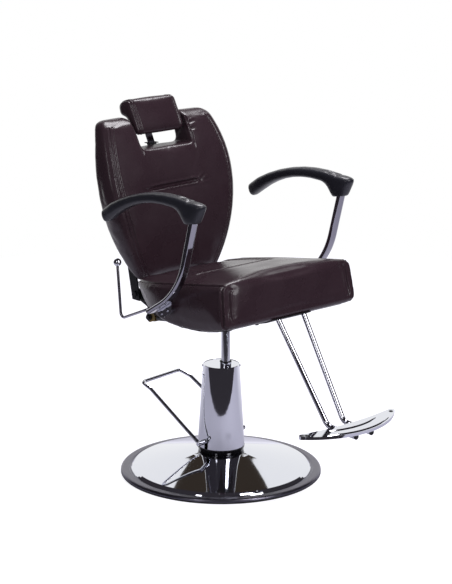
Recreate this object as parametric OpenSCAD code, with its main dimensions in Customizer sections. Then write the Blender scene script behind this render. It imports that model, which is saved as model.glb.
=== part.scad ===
// Hydraulic reclining barber chair, in millimetres.
// +Z is up, the sitter faces -Y and the sitter's left is +X. The origin is on the floor, under the middle of
// the base disc. The chair is drawn with the back upright, the head pad down and the pedal up.

/* [Base] */
// Diameter of the base disc
base_d = 600; // [540:5:700]
// Height of the dish at its middle
dish_h = 66; // [56:1:80]
// Sheet thickness of the dish
dish_wall = 3; // [2:0.5:4]
// Width of the rounded rim
rim_w = 27; // [22:1:36]
// Height of the rounded rim
rim_h = 14; // [13:1:22]
// Drop of the steep shoulder where the dish meets the rim
shoulder_h = 10.5; // [6:0.5:14]
// Height of the rubber edge under the rim
edge_h = 5; // [3:0.5:8]
// Thickness of the steel plate under the dish
base_plate_t = 8; // [5:1:12]

/* [Pump] */
// Radius of the cover at its foot
cover_foot_r = 70; // [68:1:84]
// Radius of the cover at its top
cover_top_r = 54.5; // [53:0.5:60]
// Height of the cover
cover_h = 250; // [235:1:300]
// Sheet thickness of the cover
cover_wall = 2; // [1:0.5:3]
// Height of the black ring under the cover
foot_ring_h = 17; // [10:1:24]
// Diameter of the piston rod
rod_d = 27; // [22:1:30]
// Distance of the piston rod in front of the disc's middle
rod_forward = 19; // [14:1:21]
// Height of the gland above the cover
gland_h = 13; // [8:1:18]
// Bare length of the piston rod between the cover and the seat's socket
rod_shown = 108; // [100:1:150]
// Turn of the pump and its pedal about the disc's middle
pump_turn = 8; // [-30:1:30]

/* [Pedal] */
// Distance from the pedal's pivot to its foot bar
pedal_reach = 239; // [215:1:270]
// Height of the foot bar above the pivot
pedal_rise = 140; // [110:1:160]
// Width of the pedal at its foot bar
pedal_w = 172; // [150:2:190]
// Diameter of the pedal's rod
pedal_rod_d = 11; // [9:0.5:13]
// Height of the pivot above the cover's foot
pedal_pivot_h = 25; // [22:1:36]

/* [Seat] */
// Width of the seat along its top front edge
seat_w = 510; // [476:2:530]
// Length of the seat's top from front to back
seat_l = 448; // [430:2:456]
// Distance of the seat's top front edge in front of the disc's middle
seat_reach = 283; // [275:1:300]
// Height of the top front edge above the lowest line of the seat
seat_depth = 168; // [158:1:190]
// Distance by which the front leans out at its foot
nose_lean = 23; // [10:1:35]
// Fall of the seat's top towards the back, in degrees
seat_fall = 9.1; // [4:0.1:11]
// Radius of the bowed underside
hull_r = 543; // [500:5:700]
// Crown of the seat's top
seat_crown = 10; // [4:1:18]
// Depth of the tucked middle of the seat
seat_tuck = 8; // [2:1:14]
// Thickness of the seat board
board_t = 12; // [9:1:18]

/* [Arms] */
// Room between the seat's side and the arm's tube
arm_gap = 7; // [5:1:20]
// Width of the flat-oval arm tube
arm_tube_w = 30; // [24:1:34]
// Thickness of the flat-oval arm tube
arm_tube_t = 14; // [11:0.5:17]
// Width of an arm pad
pad_w = 44; // [38:1:52]

/* [Footrest] */
// Diameter of the footrest's tubes
leg_d = 16; // [14:0.5:19]
// Width of the foot plate
plate_w = 370; // [330:2:420]
// Thickness of the foot plate
plate_t = 9; // [7:0.5:12]
// Drop from the seat's lowest line to the foot plate's top
plate_drop = 224; // [200:1:250]
// Depth of the foot plate at its middle
plate_depth = 70; // [60:1:85]

/* [Backrest] */
// Greatest width of the backrest
back_w = 490; // [460:2:510]
// Greatest thickness of the backrest
back_t = 113; // [100:1:120]
// Radius of the backrest's bowed front
back_r = 635; // [600:5:700]
// Height of the backrest's top above the seat's lowest line
back_top = 547; // [530:1:570]
// Hollow of the backrest's front, from its edges to its middle
back_hollow = 5; // [0:1:12]
// Crown of the backrest's rear
back_crown = 16; // [6:1:24]
// Width of the notch in the backrest's top
notch_w = 194; // [180:1:210]
// Height of the notch's floor above the seat's lowest line
notch_floor = 453; // [446:1:460]
// Depth of the tuck across the backrest
back_tuck = 9; // [3:1:14]

/* [Head pad] */
// Width of the head pad
head_w = 190; // [176:1:192]
// Width of the flat post
post_w = 22; // [16:1:28]
// Thickness of the flat post
post_t = 6; // [4:0.5:7]
// Length of the guide in the backrest
guide_l = 108; // [95:1:112]

/* [Recline] */
// Width of the flat bars that carry the backrest
bar_w = 32; // [28:1:36]
// Thickness of those bars
bar_t = 6; // [4:0.5:7]
// Diameter of the tube on which the backrest turns
pivot_d = 16; // [14:0.5:20]
// Distance between the outer faces of the bars
bar_span = 306; // [300:1:316]
// Diameter of the lever's rod
lever_d = 8.5; // [7:0.5:10]
// Diameter of the lever's ball
ball_d = 24; // [20:1:26]
// Diameter of the gas strut's cylinder
strut_d = 22; // [18:1:26]

/* [Hidden] */
$fn = 64;

// Clearances
run_gap = 0.05;

// Colours
chrome = [0.80, 0.81, 0.84];
vinyl = [0.20, 0.14, 0.16];
soft_black = [0.10, 0.11, 0.13];
black_steel = [0.13, 0.13, 0.14];
zinc = [0.66, 0.53, 0.30];
ply = [0.72, 0.58, 0.40];

// Base and its bolts
base_r = base_d / 2;
hole_r = 30;
base_bolt_r = 42;
base_bolt_d = 10;
bolt_room = 0.4;
flange_t = 13;

// Heights of the pump
ring_top = dish_h + foot_ring_h;
cover_top = ring_top + cover_h;
gland_top = cover_top + gland_h;
pivot_z = ring_top + pedal_pivot_h;
seat_z = cover_top + rod_shown + 59;

// Pump insides
bore_wall = 4;
piston_r = rod_d / 2 + 2.5;
housing_r = 50;
flange_r = cover_foot_r - 10;
housing_top = pivot_z + 22;
lid_t = 3;
tank_r = 46;
tank_top = cover_top - 11;
gland_r = rod_d / 2 + 4;
gland_foot = tank_top - 20;
lift_down = 90;
piston_h = 20;
shaft_d = 14;
plunger_y = 30;
plunger_d = 12;
plunger_gap = 0.08;
cam_r = 6;
cam_w = 18;
hub_d = 15;
hub_out = 108;
hub_in = cover_foot_r + 2.5;
arm_out = 101;
pedal_knee = 40;
pedal_bend = 14;
pin_d = 10;

// Seat frame
plate_top = seat_z - 4;
plate_h = 8;
plate_front = -95;
plate_back = 32;
strut_slot = 40;
rod_head = plate_top - plate_h - 2;
socket_foot = cover_top + rod_shown;
socket_r = rod_d / 2 + 8;

// Seat outline
seat_front = -seat_reach;
seat_back = seat_front + seat_l;
hull_low_y = -100;
nose_top_z = seat_depth;
seat_taper = 52;
seat_taper_y = -20;
nose_flare = 11;
back_foot_in = 47;
tuck_half_w = 118;
tuck_front = seat_front + 120;
board_front = -270;
board_step = 37;
board_steps = 10;
board_inset = 2;
back_corner = 65;
wide_end = 20;
board_bolt_d = 6;
side_rail_t = 18;
side_rail_in = 28;
side_rail_front = -180;
side_rail_back = 20;
side_rail_h = 106;

// Recline geometry
pivot = [214, 30];
bar_out = bar_span / 2;
bar_in = bar_out - bar_t;
rail_t = 5;
rail_low = -21;
rail_out = bar_in - 4;
rail_in = rail_out - rail_t;
flange_w = 24;
rail_flange_t = 4;
bar_lean = 12.4;
strut_x = -100;
crank_pin = [200, -46];
strut_eye = [20, -20];
link_pin_d = 8;
release_pin_h = 3;
lever_y = 85;
lever_z = 19;
lever_x = -215;
lever_knee = [lever_x, 204, -32];
lever_tip = [lever_x - 1, 218, 128];

// Backrest outline
back_cy = 168.2 + back_r;
back_cz = 180;
back_wide_z = 384;
back_foot_z = 67;
back_board_t = 12;
back_board_in = 45;
back_board_foot = 125;
back_board_edge = 30;
notch_wood = 13;
lean = 27;

function lerp(a, b, t) = a + (b - a) * t;

// Points along an arc in the plane
function arc(c, r, a0, a1, n) = [
    for (i = [0:n]) let(a = lerp(a0, a1, i / n)) c + r * [cos(a), sin(a)]
];

// A point of a cubic curve at t, from 0 to 1
function bezier(p, t) =
    (1 - t) ^ 3 * p[0] + 3 * t * (1 - t) ^ 2 * p[1] + 3 * t ^ 2 * (1 - t) * p[2] + t ^ 3 * p[3];
function unit(v) = v / norm(v);

// A point at share t of the arc of radius r that bows up between two ends
function bow_centre(e, r) = let(d = e[1] - e[0])
    (e[0] + e[1]) / 2 - sqrt(r ^ 2 - norm(d) ^ 2 / 4) * unit([-d.y, d.x]);
function bow_angle(p, c) = atan2(p.y - c.y, p.x - c.x);
function bow(e, r, t) = let(c = bow_centre(e, r), a = lerp(bow_angle(e[0], c), bow_angle(e[1], c), t))
    c + r * [cos(a), sin(a)];

// One loop round a soft section, with nx steps along each level side, nz up each upright side and full corners
function square_walk(k, nx, nz) =
    k < nx ? [-1 + 2 * k / nx, -1] :
    k < nx + nz ? [1, -1 + 2 * (k - nx) / nz] :
    k < 2 * nx + nz ? [1 - 2 * (k - nx - nz) / nx, 1] :
    [-1, 1 - 2 * (k - 2 * nx - nz) / nz];
function soften(p, e) = p / pow(pow(abs(p.x), e) + pow(abs(p.y), e), 1 / e);
function soft_loop(nx, nz, e) = [for (k = [0:2 * (nx + nz) - 1]) soften(square_walk(k, nx, nz), e)];

// Closed skin over a stack of rings with equal numbers of points, with a middle point in each end
module skin(rings, first, last) {
    n = len(rings[0]);
    m = len(rings);
    points = concat([for (r = rings) each r], [first, last]);
    faces = concat(
        [for (k = [0:n - 1]) [k, (k + 1) % n, n * m]],
        [for (i = [0:m - 2], k = [0:n - 1]) [i * n + k, (i + 1) * n + k, (i + 1) * n + (k + 1) % n]],
        [for (i = [0:m - 2], k = [0:n - 1]) [i * n + k, (i + 1) * n + (k + 1) % n, i * n + (k + 1) % n]],
        [for (k = [0:n - 1]) [(m - 1) * n + (k + 1) % n, (m - 1) * n + k, n * m + 1]]
    );
    polyhedron(points, faces, convexity = 8);
}

// Puts children's Z along b - a, starting at a
module along(a, b, side = [1, 0, 0]) {
    z = unit(b - a);
    y = unit(cross(z, side));
    x = cross(y, z);
    multmatrix([[x.x, y.x, z.x, a.x], [x.y, y.y, z.y, a.y], [x.z, y.z, z.z, a.z]]) children();
}

// Bends are a hair fuller than the straight lengths that run a little way into them
bend_skin = 0.05;
bend_lap = 0.5;

// Round bar through points, with every inner corner bent to radius bend
module bent_bar(p, r, bend) {
    n = len(p);
    dirs = [for (i = [0:n - 2]) unit(p[i + 1] - p[i])];
    turns = [for (i = [0:n - 2]) i == 0 ? 0 : acos(min(1, dirs[i - 1] * dirs[i]))];
    cuts = [for (i = [0:n - 1]) i == 0 || i == n - 1 ? 0 : bend * tan(turns[i] / 2)];
    for (i = [0:n - 2]) {
        a = p[i] + dirs[i] * (cuts[i] - (i == 0 ? 0 : bend_lap));
        b = p[i + 1] - dirs[i] * (cuts[i + 1] - (i == n - 2 ? 0 : bend_lap));
        along(a, b, bar_side(dirs[i])) cylinder(h = norm(b - a), r = r);
    }
    for (i = [1:n - 2]) {
        a = p[i] - dirs[i - 1] * cuts[i];
        inward = unit(dirs[i] - (dirs[i] * dirs[i - 1]) * dirs[i - 1]);
        c = a + bend * inward;
        x = -inward;
        y = dirs[i - 1];
        z = cross(x, y);
        multmatrix([[x.x, y.x, z.x, c.x], [x.y, y.y, z.y, c.y], [x.z, y.z, z.z, c.z]])
            rotate_extrude(angle = turns[i]) translate([bend, 0]) circle(r = r + bend_skin);
    }
}
function bar_side(d) = abs(d.x) > 0.9 ? [0, 1, 0] : [1, 0, 0];

// Extrudes a side outline, drawn as depth and height, across the chair
module across(x0, x1) {
    translate([x0, 0, 0]) rotate([90, 0, 90]) linear_extrude(x1 - x0) children();
}

// A pin, bolt shank or hole across the chair
module cross_pin(x0, x1, p, d) {
    translate([x0, p.x, p.y]) rotate([0, 90, 0]) cylinder(h = x1 - x0, d = d);
}

module at_rod() {
    translate([0, -rod_forward, 0]) children();
}

module at_pump() {
    rotate([0, 0, pump_turn]) children();
}

module on_seat() {
    translate([0, 0, seat_z]) children();
}

// ---- Base ----

rim_round = rim_h - edge_h - 1;
groove_z = rim_h - 3;
shoulder_foot_r = base_r - rim_w - 2;

// The dish from its outer edge over the rim, the groove, the shoulder and the cone, drawn t below its outside
function dish_line(t) = concat(
    arc([base_r - rim_round, rim_h - rim_round], rim_round - t, 0, 90, 6),
    [[base_r - rim_w + 4, rim_h - t], [base_r - rim_w, groove_z - t], [shoulder_foot_r, groove_z - t]],
    [for (k = [1:3]) [shoulder_foot_r - 0.86 * shoulder_h * (k / 3) ^ 1.5, groove_z - t + shoulder_h * k / 3]],
    [[cover_foot_r + 22, dish_h - 4 - t], [cover_foot_r + 6, dish_h - t]]
);

module base_dish() {
    inner = dish_line(dish_wall);
    color(chrome) difference() {
        rotate_extrude($fn = 128) polygon(concat(
            [[base_r, edge_h]], dish_line(0), [[hole_r, dish_h], [hole_r, dish_h - dish_wall]],
            [for (i = [len(inner) - 1:-1:0]) inner[i]], [[base_r - dish_wall, edge_h]]
        ));
        base_bolt_holes(dish_h - dish_wall, dish_wall);
    }
}

module base_edge_ring() {
    lip = 6;
    color(soft_black) rotate_extrude($fn = 128) polygon([
        [base_r - dish_wall - lip, 0], [base_r - 1.5, 0], [base_r, 1.5], [base_r, edge_h],
        [base_r - dish_wall, edge_h], [base_r - dish_wall, edge_h + 1], [base_r - dish_wall - lip, edge_h + 1]
    ]);
}

module base_bolt_places() {
    for (a = [45:90:315]) rotate([0, 0, a]) translate([base_bolt_r, 0, 0]) children();
}

module base_bolt_holes(z, t) {
    base_bolt_places() translate([0, 0, z - 1]) cylinder(h = t + 2, d = base_bolt_d + bolt_room, $fn = 32);
}

module base_plate() {
    top = dish_h - dish_wall;
    color(black_steel) difference() {
        translate([0, 0, top - base_plate_t]) cylinder(h = base_plate_t, r = cover_foot_r - 4);
        translate([0, 0, top - base_plate_t - 1]) cylinder(h = base_plate_t + 2, r = hole_r - 6);
        base_bolt_holes(top - base_plate_t, base_plate_t);
    }
}

module base_bolts() {
    under = dish_h - dish_wall - base_plate_t;
    color(black_steel) base_bolt_places() {
        translate([0, 0, under]) cylinder(h = dish_h + 10 - under, d = base_bolt_d, $fn = 32);
        translate([0, 0, under - 6.5]) cylinder(h = 6.5, d = 18, $fn = 6);
    }
}

// ---- Pump ----

module pump_housing() {
    color(soft_black) difference() {
        union() {
            translate([0, 0, dish_h]) cylinder(h = flange_t, r = flange_r);
            translate([0, 0, dish_h]) cylinder(h = housing_top - dish_h, r = housing_r);
        }
        base_bolt_places() translate([0, 0, dish_h - 1]) cylinder(h = flange_t - 2, d = base_bolt_d, $fn = 32);
        at_pump() {
            cross_pin(-housing_r - 1, housing_r + 1, [0, pivot_z], shaft_d + 2 * run_gap);
            translate([-cam_w / 2 - 1, 0, pivot_z - 20])
                cube([cam_w + 2, housing_r + 1, housing_top - pivot_z + 21]);
            translate([0, plunger_y, dish_h + 4]) cylinder(h = pivot_z, d = plunger_d + 2 * run_gap, $fn = 32);
        }
    }
}

module reservoir_tube() {
    color(black_steel) difference() {
        translate([0, 0, housing_top]) cylinder(h = tank_top - housing_top, r = tank_r);
        translate([0, 0, housing_top - 1]) cylinder(h = tank_top - housing_top - 5, r = tank_r - 3);
        at_rod() translate([0, 0, gland_foot - 1]) cylinder(h = 40, r = gland_r + 6);
    }
}

module inner_cylinder() {
    color(black_steel) at_rod() difference() {
        translate([0, 0, housing_top]) cylinder(h = gland_foot - housing_top, r = piston_r + bore_wall);
        translate([0, 0, housing_top - 1]) cylinder(h = gland_foot - housing_top + 2, r = piston_r + run_gap);
    }
}

module gland_nut() {
    color(chrome) at_rod() difference() {
        union() {
            translate([0, 0, gland_foot]) cylinder(h = tank_top - gland_foot, r = gland_r + 6);
            translate([0, 0, tank_top]) cylinder(h = gland_top - 3 - tank_top, r = gland_r);
        }
        translate([0, 0, gland_foot - 1]) cylinder(h = gland_top, d = rod_d + 2 * run_gap);
    }
}

module rod_wiper() {
    color(soft_black) at_rod() rotate_extrude() polygon([
        [rod_d / 2 + run_gap, gland_top - 3], [gland_r, gland_top - 3], [gland_r, gland_top - 1],
        [rod_d / 2 + 1.5, gland_top], [rod_d / 2 + run_gap, gland_top]
    ]);
}

module pedal_slots(w) {
    at_pump() {
        cross_pin(-cover_foot_r - 5, cover_foot_r + 5, [0, pivot_z], w);
        translate([-cover_foot_r - 5, -w / 2, ring_top - 1])
            cube([2 * cover_foot_r + 10, w, pedal_pivot_h + 1]);
    }
}

module pump_cover() {
    color(chrome) difference() {
        rotate_extrude($fn = 96) polygon([
            [cover_foot_r - cover_wall, ring_top], [cover_foot_r, ring_top], [cover_top_r, cover_top - 1],
            [cover_top_r - 1, cover_top], [cover_top_r - cover_wall, cover_top]
        ]);
        pedal_slots(pin_d + 3);
        cover_screw_places() cylinder(h = 12, d = 4.4, center = true, $fn = 24);
    }
}

module cover_lid() {
    lid_r = cover_top_r - cover_wall - 0.3;
    color(chrome) difference() {
        translate([0, 0, tank_top]) cylinder(h = cover_top - 1 - tank_top, r = lid_r);
        at_rod() translate([0, 0, tank_top - 1]) cylinder(h = lid_t + 20, r = gland_r + run_gap);
        cover_screw_places() cylinder(h = 24, d = 4, center = true, $fn = 24);
    }
}

// Two small screws hold the cover on the lid
module cover_screw_places() {
    drop = 6;
    r = cover_top_r + drop * (cover_foot_r - cover_top_r) / cover_h;
    for (a = [138, -42]) rotate([0, 0, a]) translate([r, 0, cover_top - drop]) rotate([0, 90, 0]) children();
}

module cover_screws() {
    color(chrome) cover_screw_places() {
        translate([0, 0, -12]) cylinder(h = 12.5, d = 4, $fn = 24);
        translate([0, 0, 0.3]) cylinder(h = 1.8, d1 = 8, d2 = 6, $fn = 24);
    }
}

module cover_foot_ring() {
    color(soft_black) rotate_extrude($fn = 96) polygon([
        [flange_r, dish_h], [cover_foot_r - 4, dish_h], [cover_foot_r - 2, dish_h + 3],
        [cover_foot_r + 0.5, ring_top - 3], [cover_foot_r + 0.5, ring_top], [flange_r, ring_top]
    ]);
}

// ---- Pedal ----

module pedal_bail() {
    half = pedal_w / 2;
    left = [
        [half, pedal_reach, pivot_z + pedal_rise],
        [half + 5, pedal_reach - pedal_knee, pivot_z + pedal_rise - 13],
        [arm_out, 0, pivot_z]
    ];
    right = [for (i = [2:-1:0]) [-left[i].x, left[i].y, left[i].z]];
    color(chrome) at_pump() difference() {
        bent_bar(concat(right, left), pedal_rod_d / 2, pedal_bend);
        cross_pin(-hub_out - 5, -hub_in, [0, pivot_z], hub_d);
        cross_pin(hub_in, hub_out + 5, [0, pivot_z], hub_d);
    }
}

module pedal_hubs() {
    color(chrome) at_pump() for (side = [0, 1]) mirror([side, 0, 0]) difference() {
        union() {
            cross_pin(hub_in, hub_out - 2, [0, pivot_z], hub_d);
            translate([hub_out - 2, 0, pivot_z]) rotate([0, 90, 0]) cylinder(h = 2, d1 = hub_d, d2 = hub_d - 4);
        }
        cross_pin(hub_in - 1, arm_out - 8, [0, pivot_z], pin_d);
    }
}

module pedal_shaft() {
    color(black_steel) at_pump() {
        cross_pin(-housing_r - 2, housing_r + 2, [0, pivot_z], shaft_d);
        cross_pin(-arm_out + 8, arm_out - 8, [0, pivot_z], pin_d);
        translate([-cam_w / 2, 0, pivot_z - cam_r]) cube([cam_w, plunger_y, 2 * cam_r]);
        cross_pin(-cam_w / 2, cam_w / 2, [plunger_y, pivot_z], 2 * cam_r);
    }
}

module pump_plunger() {
    top = pivot_z - cam_r - plunger_gap;
    color(black_steel) at_pump() translate([0, plunger_y, 0]) {
        translate([0, 0, dish_h + 20]) cylinder(h = top - dish_h - 20, d = plunger_d, $fn = 32);
    }
}

// ---- Lift ----

module piston_rod() {
    foot = housing_top + lift_down + 5;
    color(chrome) at_rod() {
        translate([0, 0, foot]) cylinder(h = rod_head - foot, d = rod_d);
        translate([0, 0, foot]) cylinder(h = piston_h, r = piston_r);
    }
}

module thrust_washer() {
    color(zinc) at_rod() translate([0, 0, rod_head]) cylinder(h = 2 - run_gap, d = rod_d);
}

// ---- Seat ----

function hull(y) = (y - hull_low_y) ^ 2 / (2 * hull_r);
function board_under(y) = hull(y) + board_inset;
function board_y(i) = board_front + board_step * i;
function seat_top(y) = nose_top_z - (y - seat_front) * tan(seat_fall);
function seat_half(y) = seat_w / 2 - seat_taper * pow(max(0, (y - seat_taper_y) / 180), 2.2);
function ramp(x, w) = min(1, max(0, x / w));

// Depth of the tucked panel in the seat's top
function panel(x, y) = seat_tuck * ramp(tuck_half_w - abs(x), 22) * ramp(y - tuck_front, 22);

// One point of the seat: t runs front to back, c is a point of the section, edge draws the section in
function seat_point(t, c, edge) = let(
    top = [seat_front + seat_l * t, seat_top(seat_front + seat_l * t)],
    foot_y = lerp(seat_front - nose_lean, seat_back - back_foot_in, t),
    foot = [foot_y, hull(foot_y)],
    half = (top - foot) / 2,
    v = c.y * (1 - edge / norm(half)),
    flare = nose_flare * (1 - v) / 2 * pow(ramp(0.4 - t, 0.4), 2),
    x = c.x * (seat_half(top.x) + flare - edge),
    rise = max(0, v) * (seat_crown * (1 - pow(c.x, 4)) - panel(x, top.x)),
    p = (top + foot) / 2 + half * v
) [x, p.x, p.y + rise];

module seat_body() {
    c = soft_loop(20, 6, 14);
    ends = [[0, 10], [0.006, 4], [0.018, 1], [0.04, 0]];
    stations = concat(
        ends, [for (t = [0.11, 0.18, 0.24, 0.265, 0.29, 0.32]) [t, 0]], [for (t = [0.4:0.1:0.9]) [t, 0]],
        [for (i = [3:-1:0]) [1 - ends[i][0], ends[i][1]]]
    );
    rings = [for (s = stations) [for (p = c) seat_point(s[0], p, s[1])]];
    skin(rings, seat_point(0, [0, 0], 0), seat_point(1, [0, 0], 0));
}

// Side outline of a sheet along the board's underside, from below it to above it, between two of its steps
module board_sheet(down, up, first = 0, last = board_steps) {
    ys = [for (i = [first:last]) board_y(i)];
    polygon(concat(
        [for (y = ys) [y, board_under(y) + up]],
        [for (i = [len(ys) - 1:-1:0]) [ys[i], board_under(ys[i]) - down]]
    ));
}

module board_plan(down) {
    half = seat_w / 2 - side_rail_in;
    across(back_corner - half, half - back_corner) board_sheet(down, board_t);
    across(-half, half) intersection() {
        board_sheet(down, board_t);
        translate([board_front - 1, -50]) square([wide_end - board_front, 300]);
    }
}

// Stands children on the board's underside at x and y, square to it
module on_board(x, y) {
    y0 = board_y(floor((y - board_front) / board_step));
    rise = board_under(y0 + board_step) - board_under(y0);
    z = board_under(y0) + rise * (y - y0) / board_step;
    translate([x, y, z]) rotate([atan(rise / board_step), 0, 0]) children();
}

module board_bolt_holes() {
    board_bolt_places() translate([0, 0, -10]) cylinder(h = board_t + 20, d = board_bolt_d, $fn = 24);
}

module board_bolt_places() {
    frame_bolt_places() children();
    footrest_bolt_places() children();
}

module seat_board() {
    color(ply) on_seat() difference() {
        board_plan(0);
        board_bolt_holes();
    }
}

module side_rails(lap) {
    half = seat_w / 2 - side_rail_in;
    for (side = [0, 1]) mirror([side, 0, 0]) across(half - lap, half + side_rail_t) polygon([
        [side_rail_front, hull(side_rail_front) + 8], [hull_low_y, 8],
        [side_rail_back, hull(side_rail_back) + 8], [side_rail_back, side_rail_h - 10],
        [side_rail_front, side_rail_h]
    ]);
}

module seat_side_rails() {
    color(ply) on_seat() difference() {
        side_rails(0);
        arm_bolt_places() cylinder(h = 80, d = arm_bolt_d, center = true, $fn = 24);
    }
}

module seat_cushion() {
    color(vinyl) on_seat() difference() {
        seat_body();
        board_plan(12);
        side_rails(1);
        arm_bolt_places() cylinder(h = 60, d = 22, center = true, $fn = 24);
        across(-bracket_half, bracket_half) bracket_outline(14);
    }
}

// A steel side plate under the board, with the pivot at its rear end
module rail_side(hand) {
    first = 3;
    last = board_steps - 1;
    start = board_y(first);
    mirror([hand, 0, 0]) difference() {
        union() {
            across(rail_in, rail_out) difference() {
                union() {
                    polygon(concat(
                        [for (i = [first:last]) [board_y(i), board_under(board_y(i))]],
                        [[pivot.x - 4, pivot.y + 15], [pivot.x, pivot.y - 15]],
                        [[120, rail_low], [start + 40, rail_low], [start, -8]]
                    ));
                    translate(pivot) circle(r = pivot_d / 2 + 8);
                }
                translate(pivot) circle(d = pivot_d + 2 * run_gap);
                translate([lever_y, lever_z]) circle(d = lever_d + 2 * run_gap);
            }
            across(rail_in - flange_w, rail_out) board_sheet(rail_flange_t, 0, first, last);
        }
        board_bolt_holes();
    }
}

module frame_rail_left() {
    color(black_steel) on_seat() rail_side(0);
}

module frame_rail_right() {
    color(black_steel) on_seat() rail_side(1);
}

module frame_bolt_places() {
    for (side = [-1, 1], y = [-140, 44]) on_board(side * (rail_in - 14), y) children();
}

module footrest_bolt_places() {
    for (side = [-1, 1]) on_board(side * (bracket_half - 14), bracket_bolt_y) children();
}

module frame_bolts() {
    head_t = 5;
    color(black_steel) on_seat() board_bolt_places() {
        translate([0, 0, -rail_flange_t]) cylinder(h = rail_flange_t + board_t - 2, d = board_bolt_d, $fn = 24);
        translate([0, 0, -rail_flange_t - head_t]) cylinder(h = head_t, d = 11, $fn = 6);
    }
}

// The plate that carries the seat on the piston rod's head, with a slot for the strut
module seat_socket() {
    plate_z = plate_top - plate_h;
    color(black_steel) difference() {
        union() {
            translate([-rail_in, plate_front, plate_z]) cube([2 * rail_in, plate_back - plate_front, plate_h]);
            at_rod() translate([0, 0, socket_foot]) cylinder(h = plate_z - socket_foot, r = socket_r);
            at_rod() translate([0, 0, socket_foot + 8]) for (a = [45:90:315]) rotate([0, 0, a]) socket_rib();
        }
        at_rod() translate([0, 0, socket_foot - 1])
            cylinder(h = rod_head + 3 - socket_foot, d = rod_d + 2 * run_gap);
        translate([strut_x - strut_slot / 2, strut_eye.x - strut_slot / 2, plate_z - 1])
            cube([strut_slot, plate_back, plate_h + 2]);
    }
}

module socket_rib() {
    h = plate_top - plate_h - socket_foot - 8;
    translate([0, 3, 0]) rotate([90, 0, 0]) linear_extrude(6)
        polygon([[socket_r - 2, 0], [socket_r + 30, h - 4], [socket_r + 30, h], [socket_r - 2, h]]);
}

// ---- Arms ----

arm_x = seat_w / 2 + nose_flare + arm_gap + arm_tube_w / 2;
arm_head = [-205.8, 354];
arm_corner = [-146, 127];
arm_foot = [-17.8, 47.6];
arm_bend = 225;
plate_x = arm_x - arm_tube_w / 2;
arm_plate_t = 5;
arm_bolt_at = [[-72, 60], [-46, 45]];
arm_bolt_d = 8;

module oval(w, t) {
    square([w - t, t], center = true);
    translate([w / 2 - t / 2, 0]) circle(d = t);
    translate([t / 2 - w / 2, 0]) circle(d = t);
}

function beside(p) = [0, p.x, p.y];

// The arm's flat-oval tube: straight, one long bend, straight
module arm_run() {
    d0 = unit(arm_corner - arm_head);
    d1 = unit(arm_foot - arm_corner);
    turn = acos(d0 * d1);
    cut = arm_bend * tan(turn / 2);
    a = arm_corner - d0 * cut;
    b = arm_corner + d1 * cut;
    along(beside(arm_head), beside(a)) linear_extrude(norm(a - arm_head) + bend_lap)
        oval(arm_tube_w, arm_tube_t);
    along(beside(b - d1 * bend_lap), beside(arm_foot)) linear_extrude(norm(arm_foot - b) + bend_lap)
        oval(arm_tube_w, arm_tube_t);
    c = a + arm_bend * [-d0.y, d0.x];
    start = atan2(a.y - c.y, a.x - c.x);
    translate(beside(c)) rotate([start, 0, 0]) rotate([90, 0, 90]) rotate_extrude(angle = turn, $fn = 180)
        translate([arm_bend, 0]) rotate(90) oval(arm_tube_w + 2 * bend_skin, arm_tube_t + 2 * bend_skin);
}

module arm_tube(hand) {
    on_seat() mirror([hand, 0, 0]) translate([arm_x, 0, 0]) difference() {
        arm_run();
        along(beside(arm_foot), beside(arm_corner)) translate([0, 0, -1]) linear_extrude(19)
            oval(arm_tube_w - 4, arm_tube_t - 4);
    }
}

module arm_tube_left() {
    color(chrome) arm_tube(0);
}

module arm_tube_right() {
    color(chrome) arm_tube(1);
}

module arm_end_plugs() {
    color(soft_black) on_seat() for (side = [0, 1]) mirror([side, 0, 0]) translate([arm_x, 0, 0])
        along(beside(arm_foot), beside(arm_corner)) {
            linear_extrude(18) oval(arm_tube_w - 4, arm_tube_t - 4);
            translate([0, 0, -3]) linear_extrude(3) oval(arm_tube_w, arm_tube_t);
        }
}

// The plate behind the tube's foot, with a spacer round each bolt
arm_plate_line = [[-90, 92], [-34, 57.5], [-30, 46], [-34, 36], [-44, 31], [-56, 34], [-84, 51], [-90, 62]];
spacer_d = 19;

module arm_mount(hand) {
    inner = plate_x - arm_plate_t;
    on_seat() mirror([hand, 0, 0]) difference() {
        union() {
            across(inner, plate_x) polygon(arm_plate_line);
            for (p = arm_bolt_at) cross_pin(seat_w / 2 - side_rail_in + side_rail_t, inner, p, spacer_d);
        }
        for (p = arm_bolt_at) cross_pin(0, plate_x + 1, p, arm_bolt_d);
    }
}

module arm_mount_left() {
    color(chrome) arm_mount(0);
}

module arm_mount_right() {
    color(chrome) arm_mount(1);
}

module arm_bolt_places() {
    for (side = [0, 1], p = arm_bolt_at) mirror([side, 0, 0])
        translate([seat_w / 2, p.x, p.y]) rotate([0, 90, 0]) children();
}

module arm_bolts() {
    head = plate_x - seat_w / 2;
    color(chrome) on_seat() arm_bolt_places() {
        translate([0, 0, -side_rail_in]) cylinder(h = head + side_rail_in, d = arm_bolt_d, $fn = 24);
        translate([0, 0, head]) cylinder(h = 3, d1 = 13, d2 = 10, $fn = 32);
    }
}

// Pairs of top and foot points along an arm pad, as depth and height, from its socket to its rear end
pad_top_ends = [[-188.6, 394.7], [186.3, 313]];
pad_top_r = 558;
pad_foot_ends = [[-119.7, 367.2], [167.5, 272.6]];
pad_foot_r = 383;
pad_nose = [[-188, 396], [-277, 393], [-239, 390], [-225, 335]];
pad_throat = [[-120, 368], [-146, 365], [-161, 348], [-171, 326]];
pad_pairs = concat(
    [for (t = [1, 0.8, 0.6, 0.42, 0.26, 0.12]) [bezier(pad_nose, t), bezier(pad_throat, t)]],
    [for (k = [0:8]) [bow(pad_top_ends, pad_top_r, k / 8), bow(pad_foot_ends, pad_foot_r, k / 8)]]
);

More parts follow.
